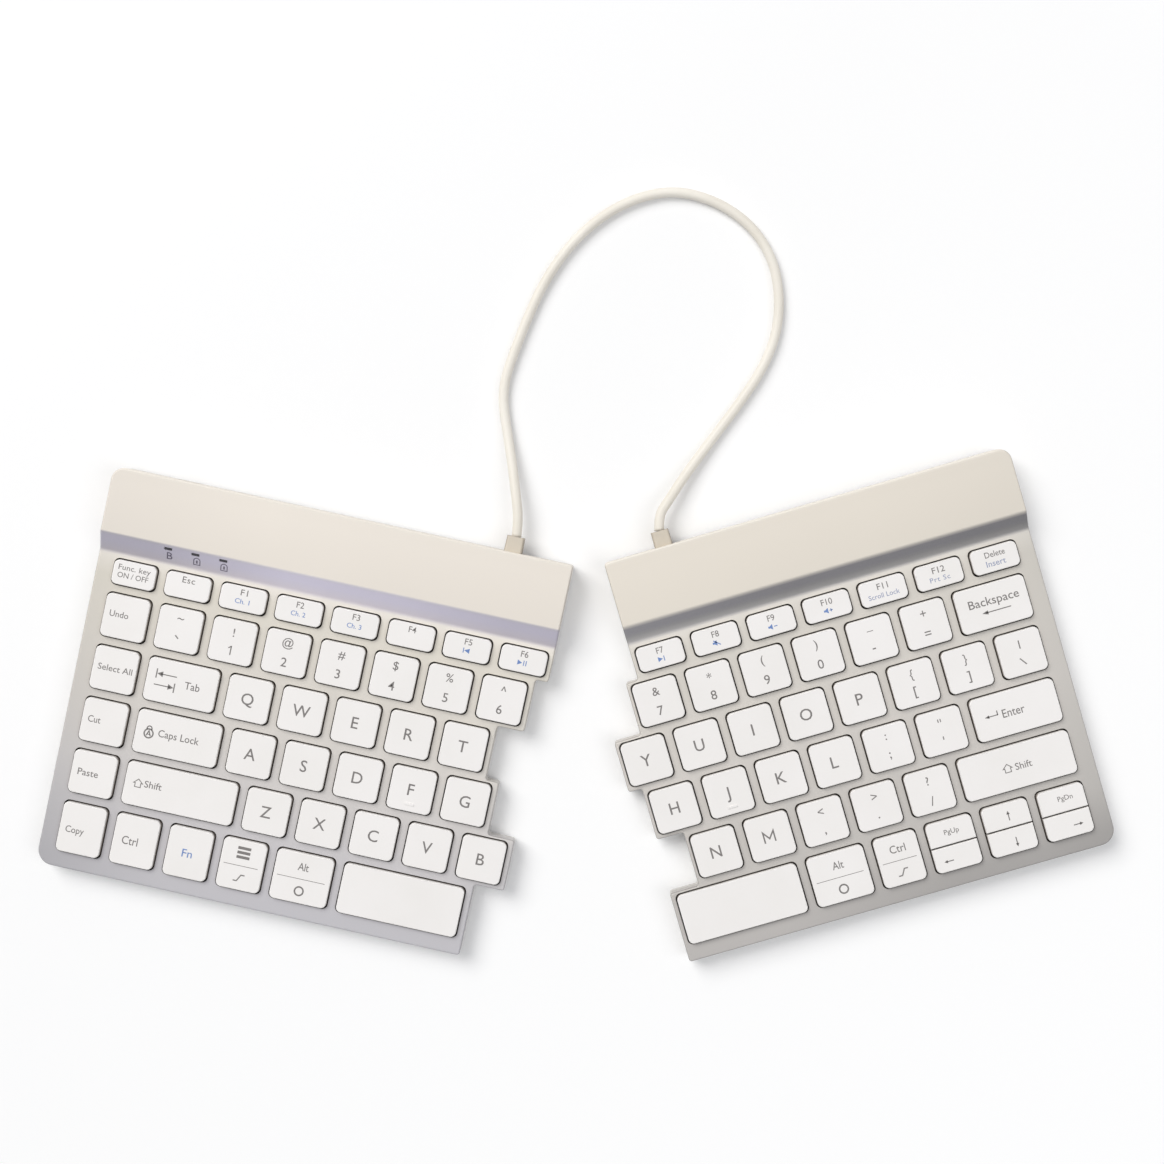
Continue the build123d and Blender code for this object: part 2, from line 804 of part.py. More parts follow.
for side in key_shares:
    with BuildPart() as relief:
        with BuildSketch(back_plane(side, rear_y - case_wall - relief_flange_thickness)):
            with Locations((relief_x[side], relief_height)):
                Circle(relief_flange_radius)
        extrude(amount=-relief_flange_thickness)
        with BuildSketch(back_plane(side, rear_y - case_wall - relief_flange_thickness)):
            with Locations((relief_x[side], relief_height)):
                Circle(relief_neck_radius)
        extrude(amount=-case_wall - 2 * relief_flange_thickness)
        with BuildSketch(back_plane(side, rear_y)):
            with Locations((relief_x[side], relief_height)):
                RectangleRounded(relief_base_width, relief_base_width, relief_edge_radius)
        with BuildSketch(back_plane(side, rear_y + relief_length)):
            with Locations((relief_x[side], relief_height)):
                RectangleRounded(relief_tip_width, relief_tip_width, relief_edge_radius)
        loft()
    finish(relief.part, side + "_strain_relief")

# Circuit boards: the main one with its chips, lamps and switch body, and the one that joins the cable

for side, name in (("left", "main_circuit_board"), ("right", "link_circuit_board")):
    grid = half_planes[side]
    x, y, length, depth = board_places[side]
    with BuildPart() as board:
        with BuildSketch(grid.offset(board_top - board_thickness)):
            with Locations((x, y)):
                Rectangle(length, depth)
        extrude(amount=board_thickness)
        with BuildSketch(grid.offset(board_top)):
            with Locations((x, y)):
                Rectangle(chip_size, chip_size)
        extrude(amount=chip_height)
        if side == "left":
            with BuildSketch(grid.offset(board_top)):
                with Locations(*[(light_x, light_y) for light_x in light_places]):
                    Rectangle(light_length, light_bar_width)
            extrude(amount=light_chip_height)
            with BuildSketch(grid.offset(board_top)):
                with Locations((switch_x, board_rear_y - switch_depth / 2)):
                    Rectangle(switch_length, switch_depth)
            extrude(amount=switch_height)
            with BuildSketch(back_plane(side, board_rear_y - switch_channel_depth)):
                with Locations((switch_x, switch_z)):
                    Rectangle(
                        slider_width + slider_travel + 2 * slot_clearance,
                        slider_height + 2 * slot_clearance,
                    )
            extrude(amount=-switch_channel_depth, mode=Mode.SUBTRACT)
    finish(board.part, name)

# Battery cell

with BuildPart() as battery:
    with BuildSketch(half_planes["left"].offset(floor_top)):
        with Locations((near_x + battery_inset + battery_length / 2, bar_middle_y)):
            Rectangle(battery_length, battery_depth)
    extrude(amount=battery_height)
    fillet(battery.edges().filter_by(Axis.Z, reverse=True), battery_edge_radius)
finish(battery.part, "battery_cell")

# Charging socket

with BuildPart() as socket:
    mouth_y = rear_y - socket_setback
    with BuildSketch(back_plane("left", mouth_y - socket_length)):
        with Locations((socket_x, socket_z)):
            SlotOverall(socket_width, socket_height)
    extrude(amount=-socket_length)
    with BuildSketch(back_plane("left", mouth_y - socket_length + 2 * socket_shell)):
        with Locations((socket_x, socket_z)):
            SlotOverall(socket_width - 2 * socket_shell, socket_height - 2 * socket_shell)
    extrude(amount=-socket_length, mode=Mode.SUBTRACT)
    with BuildSketch(back_plane("left", mouth_y - socket_length + socket_shell)):
        with Locations((socket_x, socket_z)):
            Rectangle(socket_tongue_width, socket_tongue_thickness)
    extrude(amount=-socket_tongue_length)
finish(socket.part, "charging_socket")

# Power switch slider, at rest at the end of its slot nearest the charging socket

with BuildPart() as slider:
    slider_front_y = board_rear_y - switch_channel_depth + part_fit
    with BuildSketch(back_plane("left", slider_front_y)):
        with Locations((switch_x - slider_travel / 2, switch_z)):
            Rectangle(slider_width, slider_height)
    extrude(amount=slider_front_y - rear_y + slider_recess)
finish(slider.part, "power_switch_slider")

# Status light guide: three prongs on a bar, cut flush with the slope

with BuildPart() as light_guide:
    light_bar_bottom = board_top + light_chip_height + light_chip_gap
    bar_span = light_places[-1] - light_places[0] + 2 * light_bar_overhang
    with BuildSketch(half_planes["left"].offset(light_bar_bottom)):
        with Locations(((light_places[0] + light_places[-1]) / 2, light_y)):
            Rectangle(bar_span, light_bar_width)
    extrude(amount=light_bar_thickness)
    with BuildSketch(half_planes["left"].offset(light_bar_bottom)):
        with Locations(*[(x, light_y) for x in light_places]):
            Rectangle(light_length, light_width)
    extrude(amount=bar_top - light_bar_bottom)
    with BuildSketch(side_plane("left")):
        add(profile(0))
    extrude(amount=grid_reach, both=True, mode=Mode.INTERSECT)
finish(light_guide.part, "status_light_guide")

# Link cable: out of each strain relief, down to the desk and round in one open loop behind the halves

cable_points = [
    (-19.0, 73.5, 5.9),
    (-20.6, 83.5, 4.0),
    (-22.4, 94.0, 2.2),
    (-23.8, 104.0, 1.7),
    (-23.4, 113.0, 1.75),
    (-20.4, 122.0, 1.7),
    (-15.9, 133.5, 1.7),
    (-10.2, 145.8, 1.7),
    (-2.2, 157.5, 1.7),
    (8.4, 167.5, 1.7),
    (21.0, 174.4, 1.7),
    (35.0, 176.8, 1.7),
    (48.6, 173.3, 1.7),
    (60.4, 165.5, 1.7),
    (68.2, 154.3, 1.7),
    (70.6, 141.1, 1.7),
    (69.8, 127.9, 1.7),
    (65.0, 115.5, 1.7),
    (57.2, 103.9, 1.7),
    (48.8, 93.4, 1.75),
    (41.6, 84.8, 2.6),
    (35.6, 78.3, 3.8),
    (31.4, 73.7, 4.9),
    (29.2, 69.5, 5.9),
]
cable_lead = {"left": left_cable_lead, "right": right_cable_lead}
exits = {}
leads = {}
for side in key_shares:
    grid = half_planes[side]
    exits[side] = grid.from_local_coords((relief_x[side], rear_y + relief_length, relief_height))
    leads[side] = exits[side] + grid.y_dir * cable_lead[side]
route = [exits["left"], leads["left"], *[Vector(p) for p in cable_points], leads["right"], exits["right"]]

# Each bend is as round as its two runs allow
bend_radii = []
for before, corner, after in zip(route, route[1:], route[2:]):
    shorter_run = min((corner - before).length, (after - corner).length)
    turn = (corner - before).get_angle(after - corner)
    bend_radii.append(bend_share * shorter_run / tan(radians(turn / 2)))
with BuildPart() as cable:
    with BuildLine() as path:
        FilletPolyline(*route, radius=bend_radii)
    with BuildSketch(Plane(origin=route[0], z_dir=route[1] - route[0])):
        Circle(cable_diameter / 2)
    sweep(path=path.line)
finish(cable.part, "link_cable")
cable_length = path.wires()[0].length
section_volume = pi * (cable_diameter / 2) ** 2 * cable_length
print("cable bend radii", [round(radius, 1) for radius in bend_radii])
print("cable length", round(cable_length, 1), "volume share", round(cable.part.volume / section_volume, 4))
for side in key_shares:
    grid = half_planes[side]
    print(side, "exit", [round(v, 3) for v in exits[side]], "pointing", [round(v, 5) for v in grid.y_dir])
    print(side, "half across", [round(v, 5) for v in grid.x_dir])
    print(side, "grid origin", [round(v, 3) for v in grid.origin])
swing = half_planes["left"].from_local_coords((swing_x, swing_y, 0))
print("swing point", [round(v, 3) for v in swing], "closed at", -splay, "degrees")
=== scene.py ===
import math
from collections import Counter

import bmesh
import bpy
from mathutils import Matrix, Vector


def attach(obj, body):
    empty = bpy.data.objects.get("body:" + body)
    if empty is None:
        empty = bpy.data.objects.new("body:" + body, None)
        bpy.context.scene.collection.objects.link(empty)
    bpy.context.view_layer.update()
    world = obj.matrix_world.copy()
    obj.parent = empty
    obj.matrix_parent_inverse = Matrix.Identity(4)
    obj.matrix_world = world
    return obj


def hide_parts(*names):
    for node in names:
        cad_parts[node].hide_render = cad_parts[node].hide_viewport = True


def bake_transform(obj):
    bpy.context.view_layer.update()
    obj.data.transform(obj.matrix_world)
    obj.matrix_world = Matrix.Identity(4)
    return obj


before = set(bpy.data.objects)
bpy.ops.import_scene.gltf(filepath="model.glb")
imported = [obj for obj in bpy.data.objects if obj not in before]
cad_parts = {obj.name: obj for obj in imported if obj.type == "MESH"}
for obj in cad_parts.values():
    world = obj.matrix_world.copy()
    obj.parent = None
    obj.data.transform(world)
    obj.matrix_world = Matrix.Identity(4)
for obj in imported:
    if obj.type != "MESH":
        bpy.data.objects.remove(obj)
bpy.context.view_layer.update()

# The looks of a split desk keyboard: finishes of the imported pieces, printed legends, links, domes
# and cable. The keyboard's own lengths are in millimetres on the grid of its half, and turned into
# metres when they are placed. Shaders, floor and lamps work in metres of the frame.

MM = 0.001

# Where the halves lie: the grid origin of each half in millimetres and its turn in degrees
half_places = {"left": ((-154.275, 30.554), -12.27), "right": ((-116.255, -40.426), 16.27)}

# Camera: almost straight above, with its height and tilt found from the key grid in the photograph
image_width = 1164
focal_pixels = 1751.26
sensor_width = 36.0
camera_height = 600.0
camera_target = (3.387, 43.1, 9.6)
camera_pitch = 2.157
camera_roll = -1.264

# Key grid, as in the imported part
key_pitch = 19.0
row_pitch = 18.5
cap_top = 9.6
cap_ceiling = 8.3
membrane_top = 3.3
cap_side_gap = 3.65
cap_depth = 15.05
space_row_y = -3 * row_pitch - 19.82
stack_shift = 4.5
row_y = {
    "function": 15.1,
    "number": 0.0,
    "upper": -row_pitch,
    "home": -2 * row_pitch,
    "lower": -3 * row_pitch,
    "space": space_row_y,
    "page": space_row_y + stack_shift,
    "arrow": space_row_y - stack_shift,
}
row_depth = {"function": 8.5, "space": 17.5, "page": 8.5, "arrow": 8.5}
slope_foot_y = 21.85
slope_crest_y = 27.85
rear_y = 50.65
front_y = -90.17
half_spans = {"left": (-13.9, 147.3), "right": (133.3, 289.9)}
bar_rise = 4.0
deck_top = 8.0
bar_top = deck_top + bar_rise


def grid_matrix(side):
    """From millimetres on a half's grid to metres in the frame."""
    (x, y), turn = half_places[side]
    return (
        Matrix.Translation((x * MM, y * MM, 0))
        @ Matrix.Rotation(math.radians(turn), 4, "Z")
        @ Matrix.Scale(MM, 4)
    )


grids = {side: grid_matrix(side) for side in half_places}


def placed(name, data):
    """A new object in the scene."""
    item = bpy.data.objects.new(name, data)
    bpy.context.scene.collection.objects.link(item)
    return item


def made(name, mesh, body, material):
    """A new piece from a mesh in the frame, riding on a body."""
    piece = placed(name, mesh)
    mesh.materials.append(material)
    if body:
        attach(piece, body)
    return piece


def mesh_of(data):
    """The mesh that a curve or a text makes."""
    holder = placed("holder", data)
    bpy.context.view_layer.update()
    mesh = bpy.data.meshes.new_from_object(holder)
    bpy.data.objects.remove(holder)
    return mesh


def mesh_from(form, name):
    """The mesh of a form, which is used up."""
    mesh = bpy.data.meshes.new(name)
    form.to_mesh(mesh)
    form.free()
    return mesh


def finished(form, name, matrix=Matrix.Identity(4)):
    """The mesh of a form with its faces turned outward, moved by a matrix."""
    bmesh.ops.recalc_face_normals(form, faces=form.faces)
    bmesh.ops.transform(form, verts=form.verts, matrix=matrix)
    return mesh_from(form, name)


def circle(sides):
    """Cosine and sine of each step round a circle."""
    turns = [2 * math.pi * k / sides for k in range(sides)]
    return [(math.cos(turn), math.sin(turn)) for turn in turns]


def skin(form, rings):
    """Faces from each ring of corners to the next."""
    for ring, following in zip(rings, rings[1:]):
        for k in range(len(ring)):
            after = (k + 1) % len(ring)
            form.faces.new((ring[k], ring[after], following[after], following[k]))


def capped_skin(form, rings):
    """Faces from each ring of corners to the next, and over both ends."""
    skin(form, rings)
    form.faces.new(rings[0][::-1])
    form.faces.new(rings[-1])


# Camera

def add_camera():
    """The photograph's view from above."""
    data = bpy.data.cameras.new("photo_camera")
    data.sensor_width = sensor_width
    data.lens = sensor_width * focal_pixels / image_width
    pitch = Matrix.Rotation(math.radians(camera_pitch), 4, "X")
    roll = Matrix.Rotation(math.radians(camera_roll), 4, "Y")
    back = (pitch @ roll).inverted()
    centre = Vector(camera_target) * MM + back @ Vector((0, 0, camera_height * MM))
    camera = placed("photo_camera", data)
    camera.matrix_world = Matrix.Translation(centre) @ back
    bpy.context.scene.camera = camera


add_camera()

# Materials

# Nearly all of a shader's noise lies in this band
noise_band = (0.3, 0.7)
# How much smoother and rougher than its mean a grained surface gets
gloss_spread = (-0.05, 0.07)


def srgb(code):
    """A colour written as six hex digits, as a linear colour."""
    channels = [int(code[i:i + 2], 16) / 255 for i in (0, 2, 4)]
    linear = [c / 12.92 if c <= 0.04045 else ((c + 0.055) / 1.055) ** 2.4 for c in channels]
    return (*linear, 1.0)


class Shader:
    """A material of one surface, with helpers for the few kinds of nodes used here."""

    def __init__(self, name, roughness, metallic=0.0, specular=0.5):
        self.material = bpy.data.materials.new(name)
        self.material.use_nodes = True
        self.nodes = self.material.node_tree.nodes
        self.links = self.material.node_tree.links
        self.surface = self.nodes["Principled BSDF"]
        self.surface.inputs["Roughness"].default_value = roughness
        self.surface.inputs["Metallic"].default_value = metallic
        self.surface.inputs["Specular IOR Level"].default_value = specular
        self.place = self.nodes.new("ShaderNodeTexCoord").outputs["Object"]

    def noise(self, per_metre, detail=3.0):
        """Noise of so many cells per metre."""
        node = self.nodes.new("ShaderNodeTexNoise")
        node.inputs["Scale"].default_value = per_metre
        node.inputs["Detail"].default_value = detail
        self.links.new(self.place, node.inputs["Vector"])
        return node.outputs["Fac"]

    def ranged(self, value, low, high, to_low=0.0, to_high=1.0):
        """A value's range mapped to another."""
        node = self.nodes.new("ShaderNodeMapRange")
        node.inputs["From Min"].default_value = low
        node.inputs["From Max"].default_value = high
        node.inputs["To Min"].default_value = to_low
        node.inputs["To Max"].default_value = to_high
        self.links.new(value, node.inputs["Value"])
        return node.outputs["Result"]

    def maths(self, operation, first, second):
        """Two values, each a socket or a number, put through one sum."""
        node = self.nodes.new("ShaderNodeMath")
        node.operation = operation
        for value, socket in zip((first, second), node.inputs):
            if isinstance(value, (int, float)):
                socket.default_value = value
            else:
                self.links.new(value, socket)
        return node.outputs["Value"]

    def times(self, first, second):
        """Two colours multiplied."""
        product = self.mixed(1.0, first, second)
        product.node.blend_type = "MULTIPLY"
        return product

    def mixed(self, share, first, second):
        """Two colours mixed by a share, each of the three a socket or a value."""
        node = self.nodes.new("ShaderNodeMix")
        node.data_type = "RGBA"
        for value, index in ((share, 0), (first, 6), (second, 7)):
            if isinstance(value, (int, float, tuple)):
                node.inputs[index].default_value = value
            else:
                self.links.new(value, node.inputs[index])
        return node.outputs[2]

    def ramp(self, value, stops):
        """A colour ramp over a value, from pairs of place and colour."""
        node = self.nodes.new("ShaderNodeValToRGB")
        elements = node.color_ramp.elements
        for element, (at, colour) in zip(elements, (stops[0], stops[-1])):
            element.position = at
            element.color = colour
        for at, colour in stops[1:-1]:
            elements.new(at).color = colour
        self.links.new(value, node.inputs["Fac"])
        return node.outputs["Color"]

    def coloured_ramp(self, value, stops):
        """A colour ramp over a value, from pairs of place and hex digits."""
        return self.ramp(value, [(at, srgb(code)) for at, code in stops])

    def dot(self, vector, direction):
        """How far a vector reaches along a direction."""
        node = self.nodes.new("ShaderNodeVectorMath")
        node.operation = "DOT_PRODUCT"
        node.inputs[1].default_value = direction
        self.links.new(vector, node.inputs[0])
        return node.outputs["Value"]

    def along(self, origin, direction):
        """Distance from a point along a direction, in metres."""
        away = self.nodes.new("ShaderNodeVectorMath")
        away.operation = "SUBTRACT"
        away.inputs[1].default_value = origin
        self.links.new(self.place, away.inputs[0])
        return self.dot(away.outputs["Vector"], direction)

    def facing(self, direction):
        """How far the surface faces a direction, from -1 to 1."""
        return self.dot(self.nodes.new("ShaderNodeNewGeometry").outputs["Normal"], direction)

    def colour(self, socket):
        """Set the base colour from a socket."""
        self.links.new(socket, self.surface.inputs["Base Color"])

    def rough(self, socket):
        """Set the roughness from a socket."""
        self.links.new(socket, self.surface.inputs["Roughness"])

    def bump(self, height, depth):
        """Raise the surface by a height from 0 to 1 of a depth in metres."""
        node = self.nodes.new("ShaderNodeBump")
        node.inputs["Distance"].default_value = depth
        node.inputs["Strength"].default_value = 1.0
        self.links.new(height, node.inputs["Height"])
        self.links.new(node.outputs["Normal"], self.surface.inputs["Normal"])

    def clouded(self, per_metre, light, dark):
        """Two close tones, in hex digits, that change in soft clouds."""
        cloud = self.ranged(self.noise(per_metre), *noise_band)
        return self.mixed(cloud, srgb(light), srgb(dark))

    def grained(self, per_metre, depth, roughness):
        """Fine grain of a depth in metres, with an uneven gloss."""
        fine = self.noise(per_metre)
        self.rough(self.ranged(fine, *noise_band, *[roughness + shift for shift in gloss_spread]))
        self.bump(fine, depth)


def moulded(name, light, dark, roughness, grain=3500, depth=0.00002, clouds=45, metallic=0.0):
    """A moulded or painted finish: two close tones in soft clouds, fine grain and uneven gloss."""
    shader = Shader(name, roughness, metallic)
    shader.colour(shader.clouded(clouds, light, dark))
    shader.grained(grain, depth, roughness)
    return shader.material


def greys(stops):
    """Pairs of place and grey tone as pairs of place and colour."""
    return [(at, (tone, tone, tone, 1.0)) for at, tone in stops]


# Pearl paint of the top covers, under painted shade and reflection: the deck, band and bar colours
# change along each half and differ between the halves because of how light falls, and the tones are
# painted shade. Lengths are in millimetres, a pair is where a change begins and ends past an edge,
# and the lists pair a share of the way with a tone or a colour
cover_roughness = 0.42
cover_gloss = (0.36, 0.48)
gloss_cells = 2600
flake_cells = 9000
flake_detail = 1.0
flake_band = (0.35, 0.7)
flake_share = 0.09
flake_height = 0.000006
flake_colour = "FFFDF8"
cloud_cells = 14
cloud_detail = 2.0
cloud_share = 0.05
cloud_colour = "9A9490"
corner_shade_end = 4.0
shaded_band_edge = (-1.0, 0.1)
bar_lit_before = 6.0
bar_front_shade = 0.95
rim_shade_depth = 1.2
rim_shade_tones = [(0.0, 1.0), (0.12, 1.0), (0.26, 0.66), (0.5, 0.66), (0.7, 1.0)]
rear_highlight_edge = (-1.4, -0.3)
rear_highlight_colour = "ECE5DA"
cover_colours_and_shade = {
    "left": {
        "bar": "EEE6DB",
        "bar_shade": [(0.0, 0.93), (0.35, 1.0), (1.0, 0.97)],
        "bar_edge": (0.0, 0.6),
        "band": [
            (0.0, "D3CCD4"), (0.15, "D8D2DE"), (0.55, "D8D3E5"), (0.87, "D6D1E3"), (1.0, "CFCAD4")],
        "band_shade": [
            (0.0, 0.65), (0.12, 0.69), (0.4, 1.02), (0.65, 0.98), (0.9, 0.81), (1.0, 0.79)],
        "deck": [
            (0.0, "C0BEC3"), (0.22, "C7C4C6"), (0.55, "D5D0CA"), (0.93, "DED8CC"),
            (0.985, "EBE5DB"), (1.0, "E4DEDA")],
        "deck_shade": [(0.0, 0.88), (0.06, 0.92), (0.2, 0.98), (1.0, 1.0)],
        "corner_shade_depth": 40.0,
        "corner_shade_shares": (0.3, 0.0),
        "corner_shade_tone": 0.84,
    },
    "right": {
        "bar": "E9E1D4",
        "bar_shade": [(0.0, 1.0), (0.5, 0.98), (1.0, 0.92)],
        "bar_edge": (-1.1, 0.5),
        "band": [
            (0.0, "BBB8B8"), (0.19, "AAA8A8"), (0.36, "999799"), (0.54, "918F95"),
            (0.8, "918F94"), (1.0, "A09DA0")],
        "band_shade": [(0.0, 1.0), (0.2, 0.88), (0.45, 0.74), (0.75, 0.7), (1.0, 0.57)],
        "deck": [
            (0.0, "B7B3B0"), (0.22, "C1BDB8"), (0.55, "D1CCC6"), (0.93, "D6D1C8"),
            (0.985, "E2DDD4"), (1.0, "DAD5CF")],
        "deck_shade": [(0.0, 1.0), (0.85, 0.96), (1.0, 0.87)],
        "corner_shade_depth": 20.0,
        "corner_shade_shares": (0.25, 0.65),
        "corner_shade_tone": 0.75,
    },
}


def shaded_cover_paint(side, colours_and_shade):
    """Pearl paint of a top cover, under painted shade and reflection. The slope between deck and
    bar carries a darker band of painted shade and reflection.
    """
    shader = Shader(side + "_shaded_cover_paint", cover_roughness)
    grid = grids[side]
    across, back = [(grid.to_3x3() @ Vector(way)).normalized() for way in ((1, 0, 0), (0, 1, 0))]
    y = shader.along(grid.translation, back)

    def reached(start, end):
        """How far a place is on the way from one Y of the grid to another."""
        return shader.ranged(y, start * MM, end * MM)

    def past(edge, limits):
        """How far a place is on the way between two distances past an edge."""
        return reached(*[edge + limit for limit in limits])

    def shaded_by(colour, share, tones):
        """A colour under painted shade: grey tones that change with a share."""
        return shader.times(colour, shader.ramp(share, greys(tones)))

    span = [x * MM for x in half_spans[side]]
    width_share = shader.ranged(shader.along(grid.translation, across), *span)
    # The deck's colour ramp is painted reflection and shade, lighter towards the rear, and its
    # tones across the width are painted shade
    deck = shader.coloured_ramp(reached(front_y, slope_foot_y), colours_and_shade["deck"])
    deck = shaded_by(deck, width_share, colours_and_shade["deck_shade"])
    # Painted shade darkens the deck towards its front outer corner
    to_front = reached(front_y + colours_and_shade["corner_shade_depth"], front_y + corner_shade_end)
    to_side = shader.ranged(width_share, *colours_and_shade["corner_shade_shares"])
    corner = shader.maths("MULTIPLY", to_front, to_side)
    deck = shaded_by(deck, corner, [(0.0, 1.0), (1.0, colours_and_shade["corner_shade_tone"])])
    # The band's colours and tones are painted shade and reflection on the slope, lilac on the left
    # half and grey on the right
    band = shader.coloured_ramp(reached(slope_foot_y, slope_crest_y), colours_and_shade["band"])
    band = shaded_by(band, width_share, colours_and_shade["band_shade"])
    coloured = shader.mixed(past(slope_foot_y, shaded_band_edge), deck, band)
    # The bar's tones across its width and towards its front are painted shade
    bar = shaded_by(srgb(colours_and_shade["bar"]), width_share, colours_and_shade["bar_shade"])
    lit = reached(slope_crest_y, rear_y - bar_lit_before)
    bar = shaded_by(bar, lit, [(0.0, bar_front_shade), (1.0, 1.0)])
    coloured = shader.mixed(past(slope_crest_y, colours_and_shade["bar_edge"]), coloured, bar)
    # Painted shade darkens the rounded rim into a fine line, and a painted highlight lightens the
    # rear edge
    top = shader.ranged(y, slope_foot_y * MM, slope_crest_y * MM, deck_top * MM, bar_top * MM)
    below = shader.maths("SUBTRACT", top, shader.along((0, 0, 0), (0, 0, 1)))
    coloured = shaded_by(coloured, shader.ranged(below, 0.0, rim_shade_depth * MM), rim_shade_tones)
    coloured = shader.mixed(past(rear_y, rear_highlight_edge), coloured, srgb(rear_highlight_colour))
    clouds = shader.ranged(shader.noise(cloud_cells, cloud_detail), *noise_band, 0.0, cloud_share)
    coloured = shader.mixed(clouds, coloured, srgb(cloud_colour))
    flakes = shader.noise(flake_cells, flake_detail)
    bright = shader.ranged(flakes, *flake_band, 0.0, flake_share)
    shader.colour(shader.mixed(bright, coloured, srgb(flake_colour)))
    shader.rough(shader.ranged(shader.noise(gloss_cells), *noise_band, *cover_gloss))
    shader.bump(flakes, flake_height)
    return shader.material


# Cap plastic: painted shade of the sides over their height, and how squarely a side has to face the
# front or the rear to take the painted shade of that side
cap_roughness = 0.44
cap_shade_base = deck_top - 0.2
cap_side_shade = [
    (0.0, "968E86"), (0.12, "968F88"), (0.3, "B0AAA4"), (0.75, "DEDAD6"), (0.84, "FFFFFF")]
cap_front_shade = [(0.0, "3F3B37"), (0.45, "4E4944"), (0.75, "96918C"), (0.84, "F2F0EE")]
cap_rear_shade = [(0.0, "7F7972"), (0.14, "948E88"), (0.26, "E4E0DC"), (0.36, "FFFFFF")]
cap_shade_facing = (0.5, 0.85)


def cap_plastic_and_shade():
    """White cap plastic, with painted shade on the sides that deepens towards the window, darkest
    on the sides that face the front and lightest on those that face the rear.
    """
    shader = Shader("cap_plastic", cap_roughness)
    height = shader.ranged(shader.along((0, 0, 0), (0, 0, 1)), cap_shade_base * MM, cap_top * MM)
    # Painted shade on the sides, deepest near the window
    tone = shader.coloured_ramp(height, cap_side_shade)
    for y, colours in ((-1, cap_front_shade), (1, cap_rear_shade)):
        share = shader.ranged(shader.facing((0, y, 0)), *cap_shade_facing)
        tone = shader.mixed(share, tone, shader.coloured_ramp(height, colours))
    shader.colour(shader.times(shader.clouded(45, "F4F1EF", "F0EDEA"), tone))
    shader.grained(4200, 0.000012, cap_roughness)
    return shader.material


relief_roughness = 0.55
relief_shade_facing = (0.35, 0.95)


def relief_rubber_and_shade():
    """Matte rubber, with painted shade on its sides."""
    shader = Shader("relief_rubber", relief_roughness)
    upward = shader.ranged(shader.facing((0, 0, 1)), *relief_shade_facing)
    body = shader.clouded(60, "D8CEBE", "CCC2B2")
    # The darker colour of the sides is painted shade
    shader.colour(shader.mixed(upward, srgb("A49A8C"), body))
    shader.grained(3000, 0.00002, relief_roughness)
    return shader.material


def ink(name, light, dark):
    """Matte print with a fine grain."""
    return moulded(name, light, dark, 0.5, grain=6000, depth=0.000006, clouds=900)


paints = {side: shaded_cover_paint(side, colours_and_shade) for side, colours_and_shade in cover_colours_and_shade.items()}
cap_plastic = cap_plastic_and_shade()
base_plastic = moulded("base_plastic", "DEDBD6", "D6D3CE", 0.5, grain=2200, depth=0.00004)
relief_rubber = relief_rubber_and_shade()
cable_jacket = moulded("cable_jacket", "F3EEE4", "EAE4D8", 0.46, grain=2600, depth=0.00003)
foot_rubber = moulded("foot_rubber", "77756F", "6A6863", 0.85, grain=1800, depth=0.00006)
# The membrane and key plate are dark partly as their own colour and partly as painted shade, so the
# gaps round the caps read dark
dark_film = moulded("membrane_film", "8B837A", "7F776E", 0.4, grain=900, depth=0.00001)
plate_metal = moulded(
    "plate_aluminium", "8B8986", "7C7A77", 0.38, grain=3000, depth=0.00001, metallic=0.9)
link_plastic = moulded("link_plastic", "E6E3DC", "DAD7D0", 0.45)
dome_rubber = moulded("dome_rubber", "DCD8CE", "CFCBC0", 0.5, grain=2000)
board_laminate = moulded("board_laminate", "2C6B44", "215A38", 0.35, grain=1200, clouds=400)
battery_foil = moulded(
    "battery_foil", "B9B9BC", "A5A5A9", 0.3, grain=700, depth=0.00008, metallic=0.9)
screw_steel = moulded("screw_steel", "A8A7A5", "8F8E8C", 0.32, grain=5000, metallic=1.0)
socket_steel = moulded("socket_steel", "B4B3B1", "9C9B99", 0.28, grain=3000, metallic=1.0)
switch_plastic = moulded("switch_plastic", "5B5A5C", "4E4D4F", 0.5)
light_plastic = moulded("light_plastic", "3C3A40", "2E2C33", 0.2, grain=900, depth=0.000004)
legend_ink = ink("legend_ink", "807C79", "757170")
function_ink = ink("function_ink", "7591C6", "6884BA")
faint_ink = ink("faint_ink", "9BA3BD", "9098B2")
slope_ink = ink("slope_ink", "625C6C", "575162")

node_materials = {
    "bottom_cover": base_plastic,
    "feet": foot_rubber,
    "case_screws": screw_steel,
    "key_plate": plate_metal,
    "membrane": dark_film,
    "scissor_links": link_plastic,
    "rubber_domes": dome_rubber,
    "strain_relief": relief_rubber,
}
single_materials = {
    "main_circuit_board": board_laminate,
    "link_circuit_board": board_laminate,
    "battery_cell": battery_foil,
    "charging_socket": socket_steel,
    "power_switch_slider": switch_plastic,
    "status_light_guide": light_plastic,
    "link_cable": cable_jacket,
}


def material_of(node):
    """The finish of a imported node, from its name."""
    if node in single_materials:
        return single_materials[node]
    side, _, kind = node.partition("_")
    if kind == "top_cover":
        return paints[side]
    return node_materials.get(kind, cap_plastic)


for node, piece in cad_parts.items():
    piece.data.materials.clear()
    piece.data.materials.append(material_of(node))

# Link cable

cable_diameter = 3.4
cable_sides = 20
cable_steps = 12
